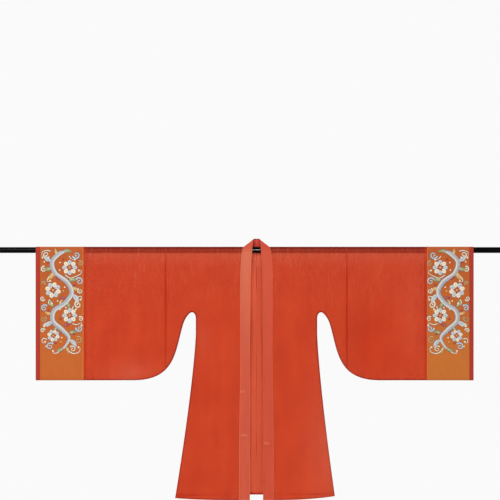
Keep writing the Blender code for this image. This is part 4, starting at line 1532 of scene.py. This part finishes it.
for word, side in SIDES.items():
    places = (0, *[side[seam] for seam in SEAMS])
    body, arm, band, edge = [round(end - start, 3) for start, end in zip(places, places[1:])]
    hang_sheet(robe_body[word], f"body_{word}")
    allowance = [band_allowance[word]]
    hang_sheet(sleeve[word], f"sleeve_{word}", pieces=allowance)
    stitched = [piping[word], embroidery[word, "front"], embroidery[word, "back"]]
    hang_sheet(cuff_band[word], f"cuff_band_{word}", pieces=stitched)
    hang_sheet(cuff_edge[word], f"cuff_edge_{word}")
    hang_sheet(neckband[word], f"neckband_{word}")
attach(rod, "root")
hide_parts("rod")

# %% [markdown]
# ## Floor, light and camera
# A plain pale floor lies below the hem, and a pale surrounding light fills the sheer cloth
# from behind, as a white wall does. One large soft light from the upper left gives the
# creases and the embroidery their shape. An oblong light shines on the rod alone, and
# leaves one bright line along it. The camera stands well back with a long lens, level with
# the rod, so almost nothing is foreshortened. Where seams meet, light goes through a dozen
# layers of gauze, so the limit on layers is raised well above that.

# %% Floor and lights
FLOOR_Z = -1.450
FLOOR_SIZE = 4.0
BOARD_GRAIN = (0.004, 0.004, 0.004)
SURROUND = 0.955
KEY_LIGHT = {"place": (-3.2, -6.5, 3.6), "target": (0, 0, -0.5), "size": (3.5, 3.5), "power": 320}
ROD_LIGHT = {"place": (0, -8, 1.3), "target": (0, 0, 0), "size": (1.2, 0.4), "power": 1450}

select()
bpy.ops.mesh.primitive_plane_add(size=FLOOR_SIZE, location=(0, 0, FLOOR_Z))
floor = bpy.context.object
floor.name = floor.data.name = "studio_floor"
painted_board, tree, place = start_material("matt_painted_board")
grain = uneven(tree, place, BOARD_GRAIN, 0.0, 1.0)
paint = layered(tree, "ECECEA", ("F4F4F2", grain, 1.0))
board = surface(tree, paint, grain, 0.05, 0.001, {"Roughness": 0.85})
node(tree, "ShaderNodeOutputMaterial", {"Surface": board})
floor.data.materials.append(painted_board)

world = bpy.data.worlds.new("pale_studio")
bpy.context.scene.world = world
world.use_nodes = True
world.node_tree.nodes.clear()
sky = node(world.node_tree, "ShaderNodeBackground", {"Color": linear("FFFFFF"), "Strength": SURROUND})
node(world.node_tree, "ShaderNodeOutputWorld", {"Surface": sky})


def area_light(name, place, target, size, power):
    """A rectangle of light at a place, turned to face a target, unseen by the camera."""
    light = bpy.data.lights.new(name, "AREA")
    light.shape = "RECTANGLE"
    light.size, light.size_y = size
    light.energy = power
    lamp = bpy.data.objects.new(name, light)
    bpy.context.scene.collection.objects.link(lamp)
    way = [b - a for a, b in zip(place, target)]
    level = math.hypot(way[0], way[1])
    lamp.location = place
    lamp.rotation_euler = (math.pi / 2 + math.atan2(way[2], level), 0, math.atan2(-way[0], way[1]))
    lamp.visible_camera = False
    return lamp


area_light("key_light", **KEY_LIGHT)
line_light = area_light("rod_light", **ROD_LIGHT)
only_rod = bpy.data.collections.new("rod_only")
only_rod.objects.link(rod)
line_light.light_linking.receiver_collection = only_rod

# %% Camera
VIEW_WIDTH = 2.400
CAMERA_DISTANCE = 12.0
CAMERA_X = -0.0312
CAMERA_Z = 0.0003
SENSOR = 36.0
CLEAR_LAYERS = 32

camera_data = bpy.data.cameras.new("camera")
camera_data.sensor_width = SENSOR
camera_data.lens = SENSOR * CAMERA_DISTANCE / VIEW_WIDTH
camera = bpy.data.objects.new("camera", camera_data)
camera.location = (CAMERA_X, -CAMERA_DISTANCE, CAMERA_Z)
camera.rotation_euler = (math.pi / 2, 0, 0)
bpy.context.scene.collection.objects.link(camera)
bpy.context.scene.camera = camera
bpy.context.scene.view_settings.view_transform = "Standard"
bpy.context.scene.cycles.transparent_max_bounces = CLEAR_LAYERS
print("lens", camera_data.lens)
